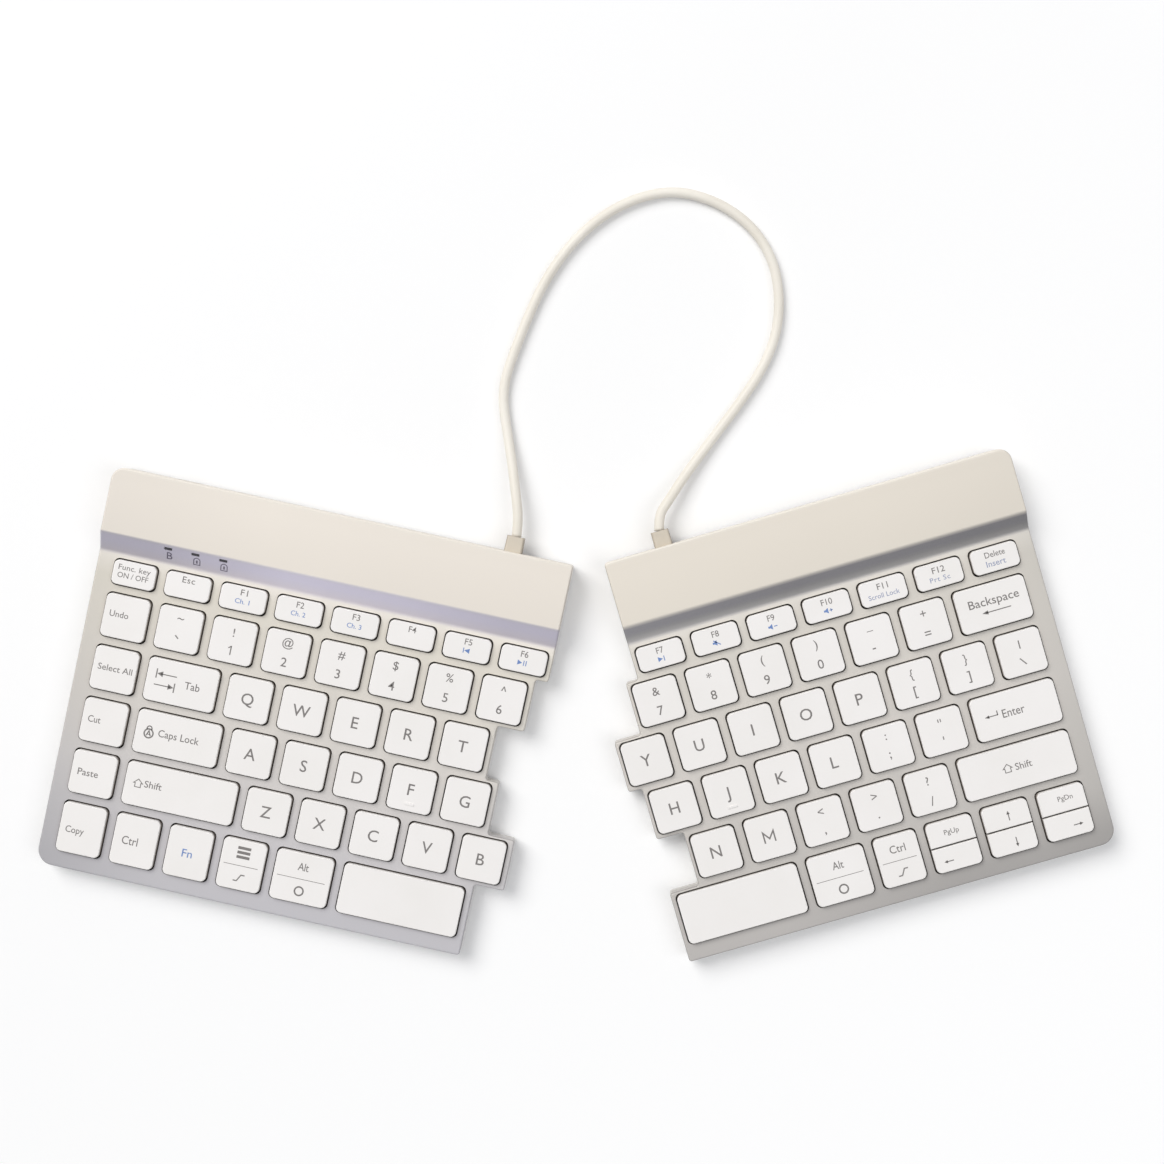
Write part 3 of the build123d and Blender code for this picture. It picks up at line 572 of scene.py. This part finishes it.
# The loop follows the right half, and its lead out of the left half takes up the turn
# The route of the imported tube, with the points near the right half moved to where the
# photograph shows them
cable_route = [
    (-19.241, 58.546, 6.6),
    (-18.5, 64.5, 6.6),
    (-19.5, 73.5, 5.9),
    (-20.8, 83.5, 4.0),
    (-22.5, 94.0, 2.2),
    (-24.2, 105.0, 1.7),
    (-23.4, 113.3, 1.75),
    (-20.4, 122.0, 1.7),
    (-15.9, 133.5, 1.7),
    (-10.2, 145.9, 1.7),
    (-2.2, 157.7, 1.7),
    (8.4, 167.9, 1.7),
    (21.0, 174.9, 1.7),
    (35.2, 177.7, 1.7),
    (49.4, 173.9, 1.7),
    (61.2, 165.9, 1.7),
    (68.8, 154.5, 1.7),
    (71.4, 141.1, 1.7),
    (70.2, 127.7, 1.7),
    (65.0, 115.5, 1.7),
    (57.0, 103.9, 1.7),
    (49.0, 93.4, 1.75),
    (42.2, 84.4, 2.6),
    (37.0, 77.1, 3.9),
    (33.0, 70.9, 5.1),
    (29.6, 65.9, 6.2),
    (29.891, 60.615, 6.6),
]


def spline_points(points):
    """Points along the smooth line that some control points shape, in metres."""
    data = bpy.data.curves.new("cable_line", "CURVE")
    data.dimensions = "3D"
    data.resolution_u = cable_steps
    spline = data.splines.new("NURBS")
    spline.points.add(len(points) - 1)
    for point, place in zip(spline.points, points):
        point.co = (*[v * MM for v in place], 1.0)
    spline.order_u = 3
    spline.use_endpoint_u = True
    mesh = mesh_of(data)
    line = [v.co.copy() for v in mesh.vertices]
    bpy.data.meshes.remove(mesh)
    return line


def tube_mesh(name, line, radius, sides):
    """A closed round tube along a line."""
    form = bmesh.new()
    rings = []
    up = Vector((0, 0, 1))
    for i, place in enumerate(line):
        ahead = (line[min(i + 1, len(line) - 1)] - line[max(i - 1, 0)]).normalized()
        across = ahead.cross(up).normalized()
        over = across.cross(ahead)
        rings.append([
            form.verts.new(place + radius * (across * c + over * s)) for c, s in circle(sides)])
    capped_skin(form, rings)
    mesh = finished(form, name)
    for face in mesh.polygons:
        face.use_smooth = len(face.vertices) == 4
    return mesh


def add_cable():
    """The cable between the halves, in place of the imported tube."""
    line = spline_points(cable_route)
    mesh = tube_mesh("link_cable_tube", line, cable_diameter / 2 * MM, cable_sides)
    cable = made("link_cable_tube", mesh, None, cable_jacket)
    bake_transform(cable)
    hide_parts("link_cable")


add_cable()

# Legends of the caps: heights of capitals, in millimetres

letter_height = 4.0
digit_height = 3.15
shifted_height = 2.9
function_height = 2.1
second_height = 1.65


def mark(text, dx, dy, size=1.0, width=None, tint="ink"):
    """A legend: text or sign, place on the cap, capital height or scale, width and tint."""
    return (text, dx, dy, size, width, tint)


def is_sign(text):
    """Whether a legend names a drawn sign, such as *tab. A star alone is a character."""
    return text.startswith("*") and len(text) > 1


def size_of(text, height):
    """The capital height of a text, or the scale of a drawn sign."""
    return 1.0 if is_sign(text) else height


def letter(text):
    """A letter in the middle of a cap."""
    return [mark("*em", -0.25, 0.1) if text == "M" else mark(text, -0.25, 0.1, letter_height)]


def pair(upper, lower, upper_y=3.5, lower_y=-3.15):
    """A shifted sign above a digit or sign."""
    return [
        mark(upper, 0.0, upper_y, size_of(upper, shifted_height)),
        mark(lower, -0.15, lower_y, size_of(lower, digit_height)),
    ]


def function(label, width, rise, sub=None, sub_width=None, tint="blue"):
    """A function label with its second meaning below."""
    found = [mark(label, 0.15, 1.95 + rise, function_height, width)]
    if sub:
        found.append(mark(sub, -0.05, -1.15 + rise, size_of(sub, second_height), sub_width, tint))
    return found


def split_cap(upper, rule_width, sign):
    """A cap with a fine rule between two legends."""
    return [[upper, mark("*rule", -0.2, -0.25, 1.0, rule_width), mark(sign, -0.05, -4.5)]]


# Key groups: side, row, start in key widths, widths of the cells, and the legends of each cap
key_groups = {
    "func_key": ("left", "function", -0.49, [0.98], [[
        mark("Func. key", -0.05, 2.0, 1.85, 11.3), mark("ON / OFF", -0.2, -0.75, 1.85, 10.8)]]),
    "escape_key": ("left", "function", 0.49, [1.02], [[mark("Esc", 0.05, 2.3, 2.1, 4.4)]]),
    "left_function_keys": ("left", "function", 1.51, [1.04] * 6, [
        function("F1", 2.5, 0.25, "Ch. 1", 5.1), function("F2", 2.6, 0.25, "Ch. 2", 5.1),
        function("F3", 2.6, 0.25, "Ch. 3", 5.1), function("F4", 2.6, 0.25),
        function("F5", 2.6, 0.25, "*back"), function("F6", 2.6, 0.25, "*play")]),
    "left_number_keys": ("left", "number", 0.5, [1.0] * 7, [
        pair("~", "*grave", 3.8, -2.6), pair("!", "*one", 3.1), pair("@", "2", 3.4),
        pair("#", "3", 3.2), pair("$", "4", 3.7), pair("%", "5", 3.8), pair("^", "6", 4.1)]),
    "tab_key": ("left", "upper", 0.5, [1.5], [[
        mark("*tab", -5.65, 0.3), mark("Tab", 3.9, 0.15, 2.6, 5.3)]]),
    "left_upper_letter_keys": ("left", "upper", 2.0, [1.0] * 5, [letter(c) for c in "QWERT"]),
    "caps_lock_key": ("left", "home", 0.5, [1.75], [[
        mark("*lock", -10.0, 0.2), mark("Caps Lock", 0.5, 0.5, 2.5, 14.4)]]),
    "left_home_letter_keys": ("left", "home", 2.25, [1.0] * 5, [letter(c) for c in "ASDFG"]),
    "left_shift_key": ("left", "lower", 0.5, [2.25], [[
        mark("*shift", -14.8, 0.35, 0.87), mark("Shift", -9.5, 0.7, 2.35, 6.1)]]),
    "left_lower_letter_keys": ("left", "lower", 2.75, [1.0] * 5, [letter(c) for c in "ZXCVB"]),
    "left_control_key": ("left", "space", 0.5, [1.0], [[mark("Ctrl", -1.65, -0.05, 2.85, 5.6)]]),
    "fn_key": ("left", "space", 1.5, [1.0], [[mark("Fn", -0.3, -0.05, 2.8, 3.6, "blue")]]),
    "system_key": ("left", "space", 2.5, [1.0],
        split_cap(mark("*menu", 0.0, 4.35), 12.1, "*switch")),
    "left_alt_key": ("left", "space", 3.5, [1.25],
        split_cap(mark("Alt", -0.1, 4.05, 2.7, 3.8), 16.9, "*ring")),
    "left_space_bar": ("left", "space", 4.75, [2.425], [[]]),
    "right_function_keys": ("right", "function", 7.75, [1.04] * 6, [
        function("F7", 2.5, -0.2, "*next"), function("F8", 2.5, -0.2, "*mute"),
        function("F9", 2.5, -0.2, "*quieter"), function("F10", 3.9, -0.2, "*louder"),
        function("F11", 3.8, -0.2, "Scroll Lock", 10.9, "faint"),
        function("F12", 4.4, -0.2, "Prt Sc", 7.0, "faint")]),
    "delete_key": ("right", "function", 13.99, [1.04], [[
        mark("Delete", 0.25, 1.75, 2.0, 7.0), mark("Insert", -0.05, -1.35, 2.0, 6.8, "faint")]]),
    "right_number_keys": ("right", "number", 7.5, [1.0] * 6, [
        pair("&", "7"), pair("*", "8", 3.7), pair("(", "9", 3.3), pair(")", "0", 3.4),
        pair("_", "-", 3.0), pair("+", "=", 3.8)]),
    "backspace_key": ("right", "number", 13.5, [1.5], [[
        mark("Backspace", 0.6, 1.85, 2.9, 17.6), mark("*left_long", 0.65, -2.0)]]),
    "right_upper_letter_keys": ("right", "upper", 7.0, [1.0] * 8, [letter(c) for c in "YUIOP"] + [
        pair("{", "[", 3.0, -3.0), pair("}", "]", 3.0, -3.0), pair("*post", "*slant", 3.0, -2.9)]),
    "right_home_letter_keys": ("right", "home", 7.25, [1.0] * 6, [letter(c) for c in "HJKL"] + [
        pair(":", ";"), pair("*quotes", "*quote", 3.9, -2.2)]),
    "enter_key": ("right", "home", 13.25, [1.75], [[
        mark("*enter", -8.6, 0.4), mark("Enter", -0.9, 0.2, 2.9, 7.8)]]),
    "right_lower_letter_keys": ("right", "lower", 7.75, [1.0] * 5, [
        letter("N"), letter("M"), pair("<", ",", 3.5, -4.3), pair(">", ".", 3.45, -4.0),
        pair("?", "/", 3.5, -3.5)]),
    "right_shift_key": ("right", "lower", 12.75, [2.25], [[
        mark("*shift", -3.4, 0.1, 0.87), mark("Shift", 2.15, 0.0, 2.35, 5.8)]]),
    "right_space_bar": ("right", "space", 7.22, [2.43], [[]]),
    "right_alt_key": ("right", "space", 9.65, [1.25],
        split_cap(mark("Alt", 0.15, 4.0, 2.7, 3.9), 16.7, "*ring")),
    "right_control_key": ("right", "space", 10.9, [0.98],
        split_cap(mark("Ctrl", 0.15, 3.9, 2.7, 5.5), 12.0, "*switch")),
    "page_up_key": ("right", "page", 11.88, [1.04], [[mark("PgUp", 0.35, 0.2, 1.7, 5.2)]]),
    "up_arrow_key": ("right", "page", 12.92, [1.04], [[mark("*up", 0.75, -0.2)]]),
    "page_down_key": ("right", "page", 13.96, [1.04], [[mark("PgDn", 1.15, 0.5, 1.7, 5.2)]]),
    "left_arrow_key": ("right", "arrow", 11.88, [1.04], [[mark("*left", -3.2, -0.75)]]),
    "down_arrow_key": ("right", "arrow", 12.92, [1.04], [[mark("*down", 1.15, -0.65)]]),
    "right_arrow_key": ("right", "arrow", 13.96, [1.04], [[mark("*right", 3.2, -0.5)]]),
}
edit_legends = {
    "number": [mark("Undo", -2.25, 0.8, 2.15, 6.6)],
    "upper": [mark("Select All", 0.25, 0.5, 2.15, 12.1)],
    "home": [mark("Cut", -3.3, 0.45, 2.3, 4.4)],
    "lower": [mark("Paste", -1.7, 0.2, 2.35, 7.2)],
    "space": [mark("Copy", -2.2, -0.5, 2.3, 6.5)],
}


def group_caps(name):
    """Side, and the row, centre, width and legends of each cap of a group."""
    if name == "edit_keys":
        width = key_pitch - cap_side_gap
        return "left", [(row, 0.0, width, legends) for row, legends in edit_legends.items()]
    side, row, start, widths, legends = key_groups[name]
    caps = []
    edge = start * key_pitch
    for share, legend in zip(widths, legends):
        width = share * key_pitch
        caps.append((row, edge + width / 2, width - cap_side_gap, legend))
        edge += width
    return side, caps


# Shapes of the legends

ink_thickness = 0.02
ink_sink = 0.004
sample_capital = "H"
text_steps = 3
type_weight = 0.005
stretch_limits = (0.82, 1.1)
# The narrowest corner that a line is mitred for, as a cosine
least_mitre = 0.3
arrow_line = 0.36
arrow_head = 1.6


def flat_text(text, spacing=1.0):
    """Corners and faces of some text in one unit of type size, flat and centred."""
    data = bpy.data.curves.new("legend_text", "FONT")
    data.body = text
    data.align_x = "CENTER"
    data.resolution_u = text_steps
    data.offset = type_weight
    data.space_character = spacing
    mesh = mesh_of(data)
    corners = [(v.co.x, v.co.y) for v in mesh.vertices]
    faces = [tuple(face.vertices) for face in mesh.polygons]
    bpy.data.meshes.remove(mesh)
    return corners, faces


def middle_and_reach(values):
    """Middle and extent of some values."""
    return (max(values) + min(values)) / 2, max(values) - min(values)


capital_height = middle_and_reach([y for _, y in flat_text(sample_capital)[0]])[1]


def text_shape(text, height, width):
    """A word scaled to a capital height and a width, its capitals centred on the origin."""
    corners, faces = flat_text(text)
    scale = height / capital_height
    stretch = 1.0
    if width:
        natural = middle_and_reach([x for x, _ in corners])[1]
        least, most = stretch_limits
        stretch = min(max(width / scale / natural, least), most)
        spacing = 1 + 2 * (width / scale / stretch - natural) / (len(text) - 1)
        corners, faces = flat_text(text, spacing)
    centre = middle_and_reach([x for x, _ in corners])[0]
    middle = capital_height / 2
    if len(text) == 1 and not text.isalnum():
        middle = middle_and_reach([y for _, y in corners])[0]
    return [((x - centre) * scale * stretch, (y - middle) * scale) for x, y in corners], faces


def stroke(points, width, closed=False):
    """Corners and faces of a line of even width through some points, with mitred corners."""
    places = [Vector(p) for p in points]
    count = len(places)
    corners = []
    for i, place in enumerate(places):
        ways = []
        if i or closed:
            ways.append((place - places[i - 1]).normalized())
        if i + 1 < count or closed:
            ways.append((places[(i + 1) % count] - place).normalized())
        sides = [Vector((-way.y, way.x)) for way in ways]
        side = sum(sides, Vector((0, 0))).normalized()
        reach = width / 2 / max(side.dot(sides[0]), least_mitre)
        corners += [tuple(place + side * reach), tuple(place - side * reach)]
    last = count if closed else count - 1
    faces = []
    for i in range(last):
        j = (i + 1) % count
        faces.append((2 * i, 2 * i + 1, 2 * j + 1, 2 * j))
    return corners, faces


def solid(points):
    """A filled outline."""
    return list(points), [tuple(range(len(points)))]


def arc(x, y, radius, start, end, steps=12):
    """Points on an arc, with angles in degrees."""
    turns = [math.radians(start + (end - start) * i / steps) for i in range(steps + 1)]
    return [(x + radius * math.cos(t), y + radius * math.sin(t)) for t in turns]


def loop(x, y, radius):
    """Points round a whole circle, without the first one again at its end."""
    return arc(x, y, radius, 0, 345, 23)


def arrow(length, head=1.0, spread=0.75):
    """An arrow to the right, with a filled head."""
    tip = length / 2
    base = tip - arrow_head * head
    return [
        stroke([(-tip, 0), (tip - head, 0)], arrow_line),
        solid([(tip, 0), (base, spread), (base, -spread)]),
    ]


def turned_shapes(shapes, degrees):
    """Shapes turned about the origin."""
    c, s = math.cos(math.radians(degrees)), math.sin(math.radians(degrees))
    return [
        ([(x * c - y * s, x * s + y * c) for x, y in corners], faces)
        for corners, faces in shapes]


def moved_shapes(shapes, dx, dy):
    """Shapes moved over."""
    return [([(x + dx, y + dy) for x, y in corners], faces) for corners, faces in shapes]


def bar(x, y, width, height):
    """A filled upright box, from its middle."""
    return solid([
        (x - width / 2, y - height / 2), (x + width / 2, y - height / 2),
        (x + width / 2, y + height / 2), (x - width / 2, y + height / 2)])


speaker = [
    solid([(-1.5, -0.35), (-0.9, -0.35), (-0.9, 0.35), (-1.5, 0.35)]),
    solid([(-0.9, -0.35), (0.0, -1.0), (0.0, 1.0), (-0.9, 0.35)]),
]
padlock = [
    stroke(loop(0, -0.55, 1.55), 0.5, closed=True),
    stroke([(-0.85, 0.8)] + arc(0, 1.2, 0.85, 180, 0) + [(0.85, 0.8)], 0.42),
    stroke([(-0.75, -1.4), (0, 0.4), (0.75, -1.4)], 0.4),
    bar(0, -0.85, 0.9, 0.3),
]
small_arrow = arrow(3.4, 0.75, 0.6)
tab_arrow = arrow(7.0, 1.3, 1.0)
# Signs drawn in millimetres about their own middle
signs = {
    "one": [stroke([(-0.75, 0.75), (0.2, 1.45)], 0.38), bar(0.2, 0, 0.42, 3.2)],
    "em": [stroke([(-1.85, -2.0), (-1.85, 1.75), (0, -0.7), (1.85, 1.75), (1.85, -2.0)], 0.52)],
    "grave": [stroke([(-0.6, 0.5), (0.6, -0.5)], 0.45)],
    "quotes": [bar(-0.42, 0, 0.36, 1.15), bar(0.42, 0, 0.36, 1.15)],
    "quote": [bar(0, 0, 0.38, 1.15)],
    "post": [bar(0, 0, 0.42, 2.9)],
    "slant": [stroke([(-0.9, 1.2), (0.9, -1.2)], 0.42)],
    "back": [bar(-1.0, 0, 0.32, 1.75), solid([(-0.75, 0), (1.1, 0.88), (1.1, -0.88)])],
    "play": [
        solid([(-1.75, 0.9), (-1.75, -0.9), (-0.1, 0)]),
        bar(0.45, 0, 0.32, 1.8), bar(1.25, 0, 0.32, 1.8)],
    "next": [solid([(-1.2, 0.88), (-1.2, -0.88), (0.45, 0)]), bar(0.95, 0, 0.32, 1.75)],
    "mute": speaker + [stroke([(-1.1, 0.95), (1.1, -0.85)], 0.36)],
    "quieter": speaker + [bar(1.1, 0, 1.2, 0.3)],
    "louder": speaker + [bar(1.0, 0, 1.1, 0.3), bar(1.0, 0, 0.3, 1.1)],
    "tab": [
        *moved_shapes(turned_shapes(tab_arrow, 180), 0.2, 1.95), bar(-3.45, 1.95, 0.42, 3.3),
        *moved_shapes(tab_arrow, -0.2, -1.95), bar(3.45, -1.95, 0.42, 3.3)],
    "lock": padlock,
    "shift": [stroke(
        [(0, 1.75), (1.8, 0.1), (1.15, 0.1), (1.15, -1.5), (-1.15, -1.5), (-1.15, 0.1),
            (-1.8, 0.1)], 0.34, closed=True)],
    "menu": [bar(0, dy, 4.6, 1.0) for dy in (-1.6, 0.0, 1.6)],
    "switch": [stroke([(-1.9, -1.1), (-0.6, -1.1), (0.6, 1.1), (1.9, 1.1)], 0.42)],
    "ring": [stroke(loop(0, 0, 1.5), 0.55, closed=True)],
    "rule": [bar(0, 0, 1.0, 0.2)],
    "left_long": turned_shapes(arrow(10.2, 1.35, 0.75), 180),
    "enter": turned_shapes(arrow(4.7, 1.0, 0.6), 180) + [stroke([(2.2, -0.15), (2.2, 1.5)], 0.38)],
    "up": turned_shapes(small_arrow, 90),
    "down": turned_shapes(small_arrow, -90),
    "left": turned_shapes(small_arrow, 180),
    "right": small_arrow,
}
# Ink of each tint, and how the names of its legends begin
inks = {
    "ink": (legend_ink, "legend_"),
    "blue": (function_ink, "function_legend_"),
    "faint": (faint_ink, "faint_legend_"),
}


def printed(name, shapes, matrix, body, material):
    """Flat shapes given the thickness of print, set on a surface by a matrix."""
    form = bmesh.new()
    for corners, faces in shapes:
        low, high = [
            [form.verts.new((x, y, z)) for x, y in corners] for z in (-ink_sink, ink_thickness)]
        for face in faces:
            form.faces.new([low[i] for i in reversed(face)])
            form.faces.new([high[i] for i in face])
        # Sides, built here so that the faces come in the same order in every run
        edges = [edge for face in faces for edge in zip(face, face[1:] + face[:1])]
        uses = Counter(frozenset(edge) for edge in edges)
        for a, b in edges:
            if uses[frozenset((a, b))] == 1:
                form.faces.new((low[a], low[b], high[b], high[a]))
    made(name, finished(form, name, matrix), body, material)


def sign_shapes(name, across, up):
    """A drawn sign, scaled across and up."""
    return [([(x * across, y * up) for x, y in corners], faces) for corners, faces in signs[name]]


def add_legends(name):
    """Every legend of a group of caps, one piece for each ink."""
    side, caps = group_caps(name)
    found = {tint: [] for tint in inks}
    for row, x, _, legends in caps:
        for text, dx, dy, size, width, tint in legends:
            if is_sign(text):
                shapes = sign_shapes(text[1:], width or size, size)
            else:
                shapes = [text_shape(text, size, width)]
            found[tint] += moved_shapes(shapes, x + dx, row_y[row] + dy)
    for tint, shapes in found.items():
        if shapes:
            material, prefix = inks[tint]
            surface = grids[side] @ Matrix.Translation((0, 0, cap_top))
            printed(prefix + name, shapes, surface, name, material)


# Links and domes under the caps

link_length = 11.0
link_width = 10.4
link_bar = 0.7
link_thickness = 0.7
link_clearance = 0.25
link_end_gap = 0.1
cap_wall = 1.0
dome_radius = 2.6
dome_seat_radius = 1.5
dome_seat_depth = 0.4
dome_flange = 0.3
dome_sides = 24
# The dome's skirt leans in by so much, up to this height above the membrane
dome_lean = 0.15
dome_lean_height = 1.2
# The dome's shoulder: how far out from the crown and how far down from the top
dome_shoulder = ((0.35, 1.5), (0.1, 1.0), (0.0, 0.2), (-0.15, 0.0))
pivot_radius = 0.45
pivot_sides = 12
links_middle = (membrane_top + cap_ceiling) / 2


def frame_form(form, x, y, width, tilt):
    """A tilted rectangular frame with an opening, in millimetres on the grid."""
    place = Matrix.Translation((x, y, links_middle)) @ Matrix.Rotation(tilt, 4, "Y")
    outer = (link_length / 2, width / 2)
    inner = (link_length / 2 - link_bar, width / 2 - link_bar)
    rings = []
    for (long, wide), z in ((outer, -1), (inner, -1), (inner, 1), (outer, 1)):
        height = z * link_thickness / 2
        corners = ((-long, -wide), (long, -wide), (long, wide), (-long, wide))
        rings.append([form.verts.new(place @ Vector((*corner, height))) for corner in corners])
    skin(form, rings + rings[:1])


def pin_form(form, x, y, start, end):
    """A short round pin along Y, from one Y to another."""
    rings = [
        [form.verts.new((x + pivot_radius * c, y + reach, links_middle + pivot_radius * s))
            for c, s in circle(pivot_sides)]
        for reach in (start, end)]
    capped_skin(form, rings)


def dome_form(form, x, y, base):
    """A thin dome with a flange and a bulged skirt."""
    top = cap_ceiling - dome_seat_depth
    crown = min(dome_seat_radius, base / 2)
    skirt = base - dome_flange
    profile = [
        (base, membrane_top), (base, membrane_top + dome_flange),
        (skirt, membrane_top + dome_flange), (skirt - dome_lean, membrane_top + dome_lean_height),
        *[(crown + out, top - down) for out, down in dome_shoulder]]
    rings = [
        [form.verts.new((x + radius * c, y + radius * s, z)) for c, s in circle(dome_sides)]
        for radius, z in profile]
    capped_skin(form, rings)


def crossing(form, name, side, material, node):
    """Finish a form that runs from a half up to its caps, in place of an imported node."""
    piece = made(name, finished(form, name, grids[side]), None, material)
    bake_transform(piece)
    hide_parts(node)


def add_mechanism(name):
    """The scissor links and domes of one group of caps."""
    side, caps = group_caps(name)
    rise = cap_ceiling - membrane_top - 2 * link_end_gap - link_thickness
    tilt = math.asin(rise / link_length)
    links = bmesh.new()
    domes = bmesh.new()
    for row, x, width, _ in caps:
        y = row_y[row]
        depth = row_depth.get(row, cap_depth)
        frame_width = min(link_width, depth - 2 * (cap_wall + link_clearance))
        inner_width = frame_width - 2 * (link_bar + link_clearance)
        opening = frame_width - 4 * link_bar - 4 * link_clearance
        # Long caps have a pair of links near each end
        reach = (width - cap_depth) / 2
        spots = [x - reach, x + reach] if reach > link_length / 2 + dome_radius else [x]
        for spot in spots:
            frame_form(links, spot, y, frame_width, tilt)
            frame_form(links, spot, y, inner_width, -tilt)
            for turn in (-1, 1):
                inside = turn * (inner_width / 2 - link_bar)
                pin_form(links, spot, y, inside, turn * frame_width / 2)
        dome_form(domes, x, y, min(dome_radius, opening / 2))
    for form, start, node, material, slot in (
        (links, "links_under_", "_scissor_links", link_plastic, "link_plastic"),
        (domes, "domes_under_", "_rubber_domes", dome_rubber, "dome_rubber"),
    ):
        crossing(form, start + name, side, material, side + node)


for group in ["edit_keys", *key_groups]:
    add_legends(group)
    add_mechanism(group)

# Marks below the status lights, printed on the slope

light_places = (10.2, 19.8, 29.6)
mark_shifts = (0.6, 0.6, 0.4)
mark_y = 24.3
mark_height = 2.9
slope_turn = math.atan2(bar_rise, slope_crest_y - slope_foot_y)


def add_light_marks():
    """A letter or a padlock in front of each status light."""
    shackle = arc(0, 0.35, 1.1, 15, 165, 8)
    lock = [
        stroke(
            [(-1.1, -1.35), (1.1, -1.35), (1.1, 0.35), *shackle, (-1.1, 0.35)],
            0.32, closed=True),
        stroke([(0, -0.8), (0, 0.5)], 0.55),
    ]
    capital = [text_shape("B", mark_height, None)]
    shapes = []
    for x, shift, shape in zip(light_places, mark_shifts, (capital, lock, lock)):
        shapes += moved_shapes(shape, x + shift, 0)
    height = deck_top + (mark_y - slope_foot_y) * math.tan(slope_turn)
    place = grids["left"] @ Matrix.Translation((0, mark_y, height))
    surface = place @ Matrix.Rotation(slope_turn, 4, "X")
    printed("status_marks", shapes, surface, "left_half", slope_ink)


add_light_marks()

# Floor and light

floor_reach = 4.0
floor_roughness = 0.9
floor_specular = 0.1
floor_colour = (0.86, 0.86, 0.87, 1.0)
white = (1.0, 1.0, 1.0, 1.0)
# The floor's glow grows along a direction, from the first to the second of these distances
glow_direction = (0.68, -0.73, 0)
glow_span = (-0.1, 0.5)
glow_strength = 0.1
# Far from the keyboard, between these distances, the floor turns plain white
far_span = (0.3, 1.2)
far_strength = 0.6
# Lamps: name, place, width, power and colour
lamps = (
    ("key_lamp", (-1.8, 1.95, 2.8), 2.4, 100.0, (1.0, 0.99, 0.975)),
    ("fill_lamp", (2.0, -0.6, 3.0), 2.4, 26.0, (0.97, 0.98, 1.0)),
)
lamp_target = (0, 0.04, 0)
world_colour = (0.97, 0.98, 1.0, 1.0)
world_light = 0.4


def seen_directly(nodes, links):
    """1 for the camera and for what gloss or glass shows, and 0 for the light on the object."""
    paths = nodes.new("ShaderNodeLightPath")
    seen = paths.outputs["Is Camera Ray"]
    for kind in ("Is Glossy Ray", "Is Transmission Ray"):
        either = nodes.new("ShaderNodeMath")
        either.operation = "MAXIMUM"
        links.new(seen, either.inputs[0])
        links.new(paths.outputs[kind], either.inputs[1])
        seen = either.outputs[0]
    return seen


def add_floor():
    """A white surface that keeps the shadows."""
    form = bmesh.new()
    corners = ((-1, -1), (1, -1), (1, 1), (-1, 1))
    form.faces.new([form.verts.new((i * floor_reach, j * floor_reach, 0)) for i, j in corners])
    mesh = mesh_from(form, "floor")
    floor = placed("floor", mesh)
    shader = Shader("floor_white", floor_roughness, specular=floor_specular)
    seen = seen_directly(shader.nodes, shader.links)
    shader.colour(shader.mixed(seen, floor_colour, white))
    # The lamps fall off to the front right, and the glow makes up for it
    distance = shader.along((0, 0, 0), glow_direction)
    fall = shader.ranged(distance, *glow_span, 0.0, glow_strength)
    away = shader.nodes.new("ShaderNodeVectorMath")
    away.operation = "LENGTH"
    shader.links.new(shader.place, away.inputs[0])
    far = shader.ranged(away.outputs["Value"], *far_span, 0.0, far_strength)
    glow = shader.maths("MULTIPLY", shader.maths("ADD", fall, far), seen)
    shader.surface.inputs["Emission Color"].default_value = white
    shader.links.new(glow, shader.surface.inputs["Emission Strength"])
    mesh.materials.append(shader.material)


def add_lamp(name, place, size, power, colour):
    """A square area lamp that faces the middle of the keyboard."""
    data = bpy.data.lights.new(name, "AREA")
    data.shape = "SQUARE"
    data.size = size
    data.energy = power
    data.color = colour
    lamp = placed(name, data)
    lamp.location = place
    away = Vector(place) - Vector(lamp_target)
    lamp.rotation_euler = away.to_track_quat("Z", "Y").to_euler()


def add_light():
    """A large soft lamp from the rear left, a weak one from the right, and a pale world."""
    for lamp in lamps:
        add_lamp(*lamp)
    world = bpy.data.worlds.new("studio")
    world.use_nodes = True
    nodes, links = world.node_tree.nodes, world.node_tree.links
    background = nodes["Background"]
    background.inputs["Color"].default_value = world_colour
    strength = nodes.new("ShaderNodeMapRange")
    strength.inputs["To Min"].default_value = world_light
    strength.inputs["To Max"].default_value = 1.0
    links.new(seen_directly(nodes, links), strength.inputs["Value"])
    links.new(strength.outputs["Result"], background.inputs["Strength"])
    bpy.context.scene.world = world


add_floor()
add_light()
bpy.context.scene.view_settings.view_transform = "Standard"

bpy.context.view_layer.update()
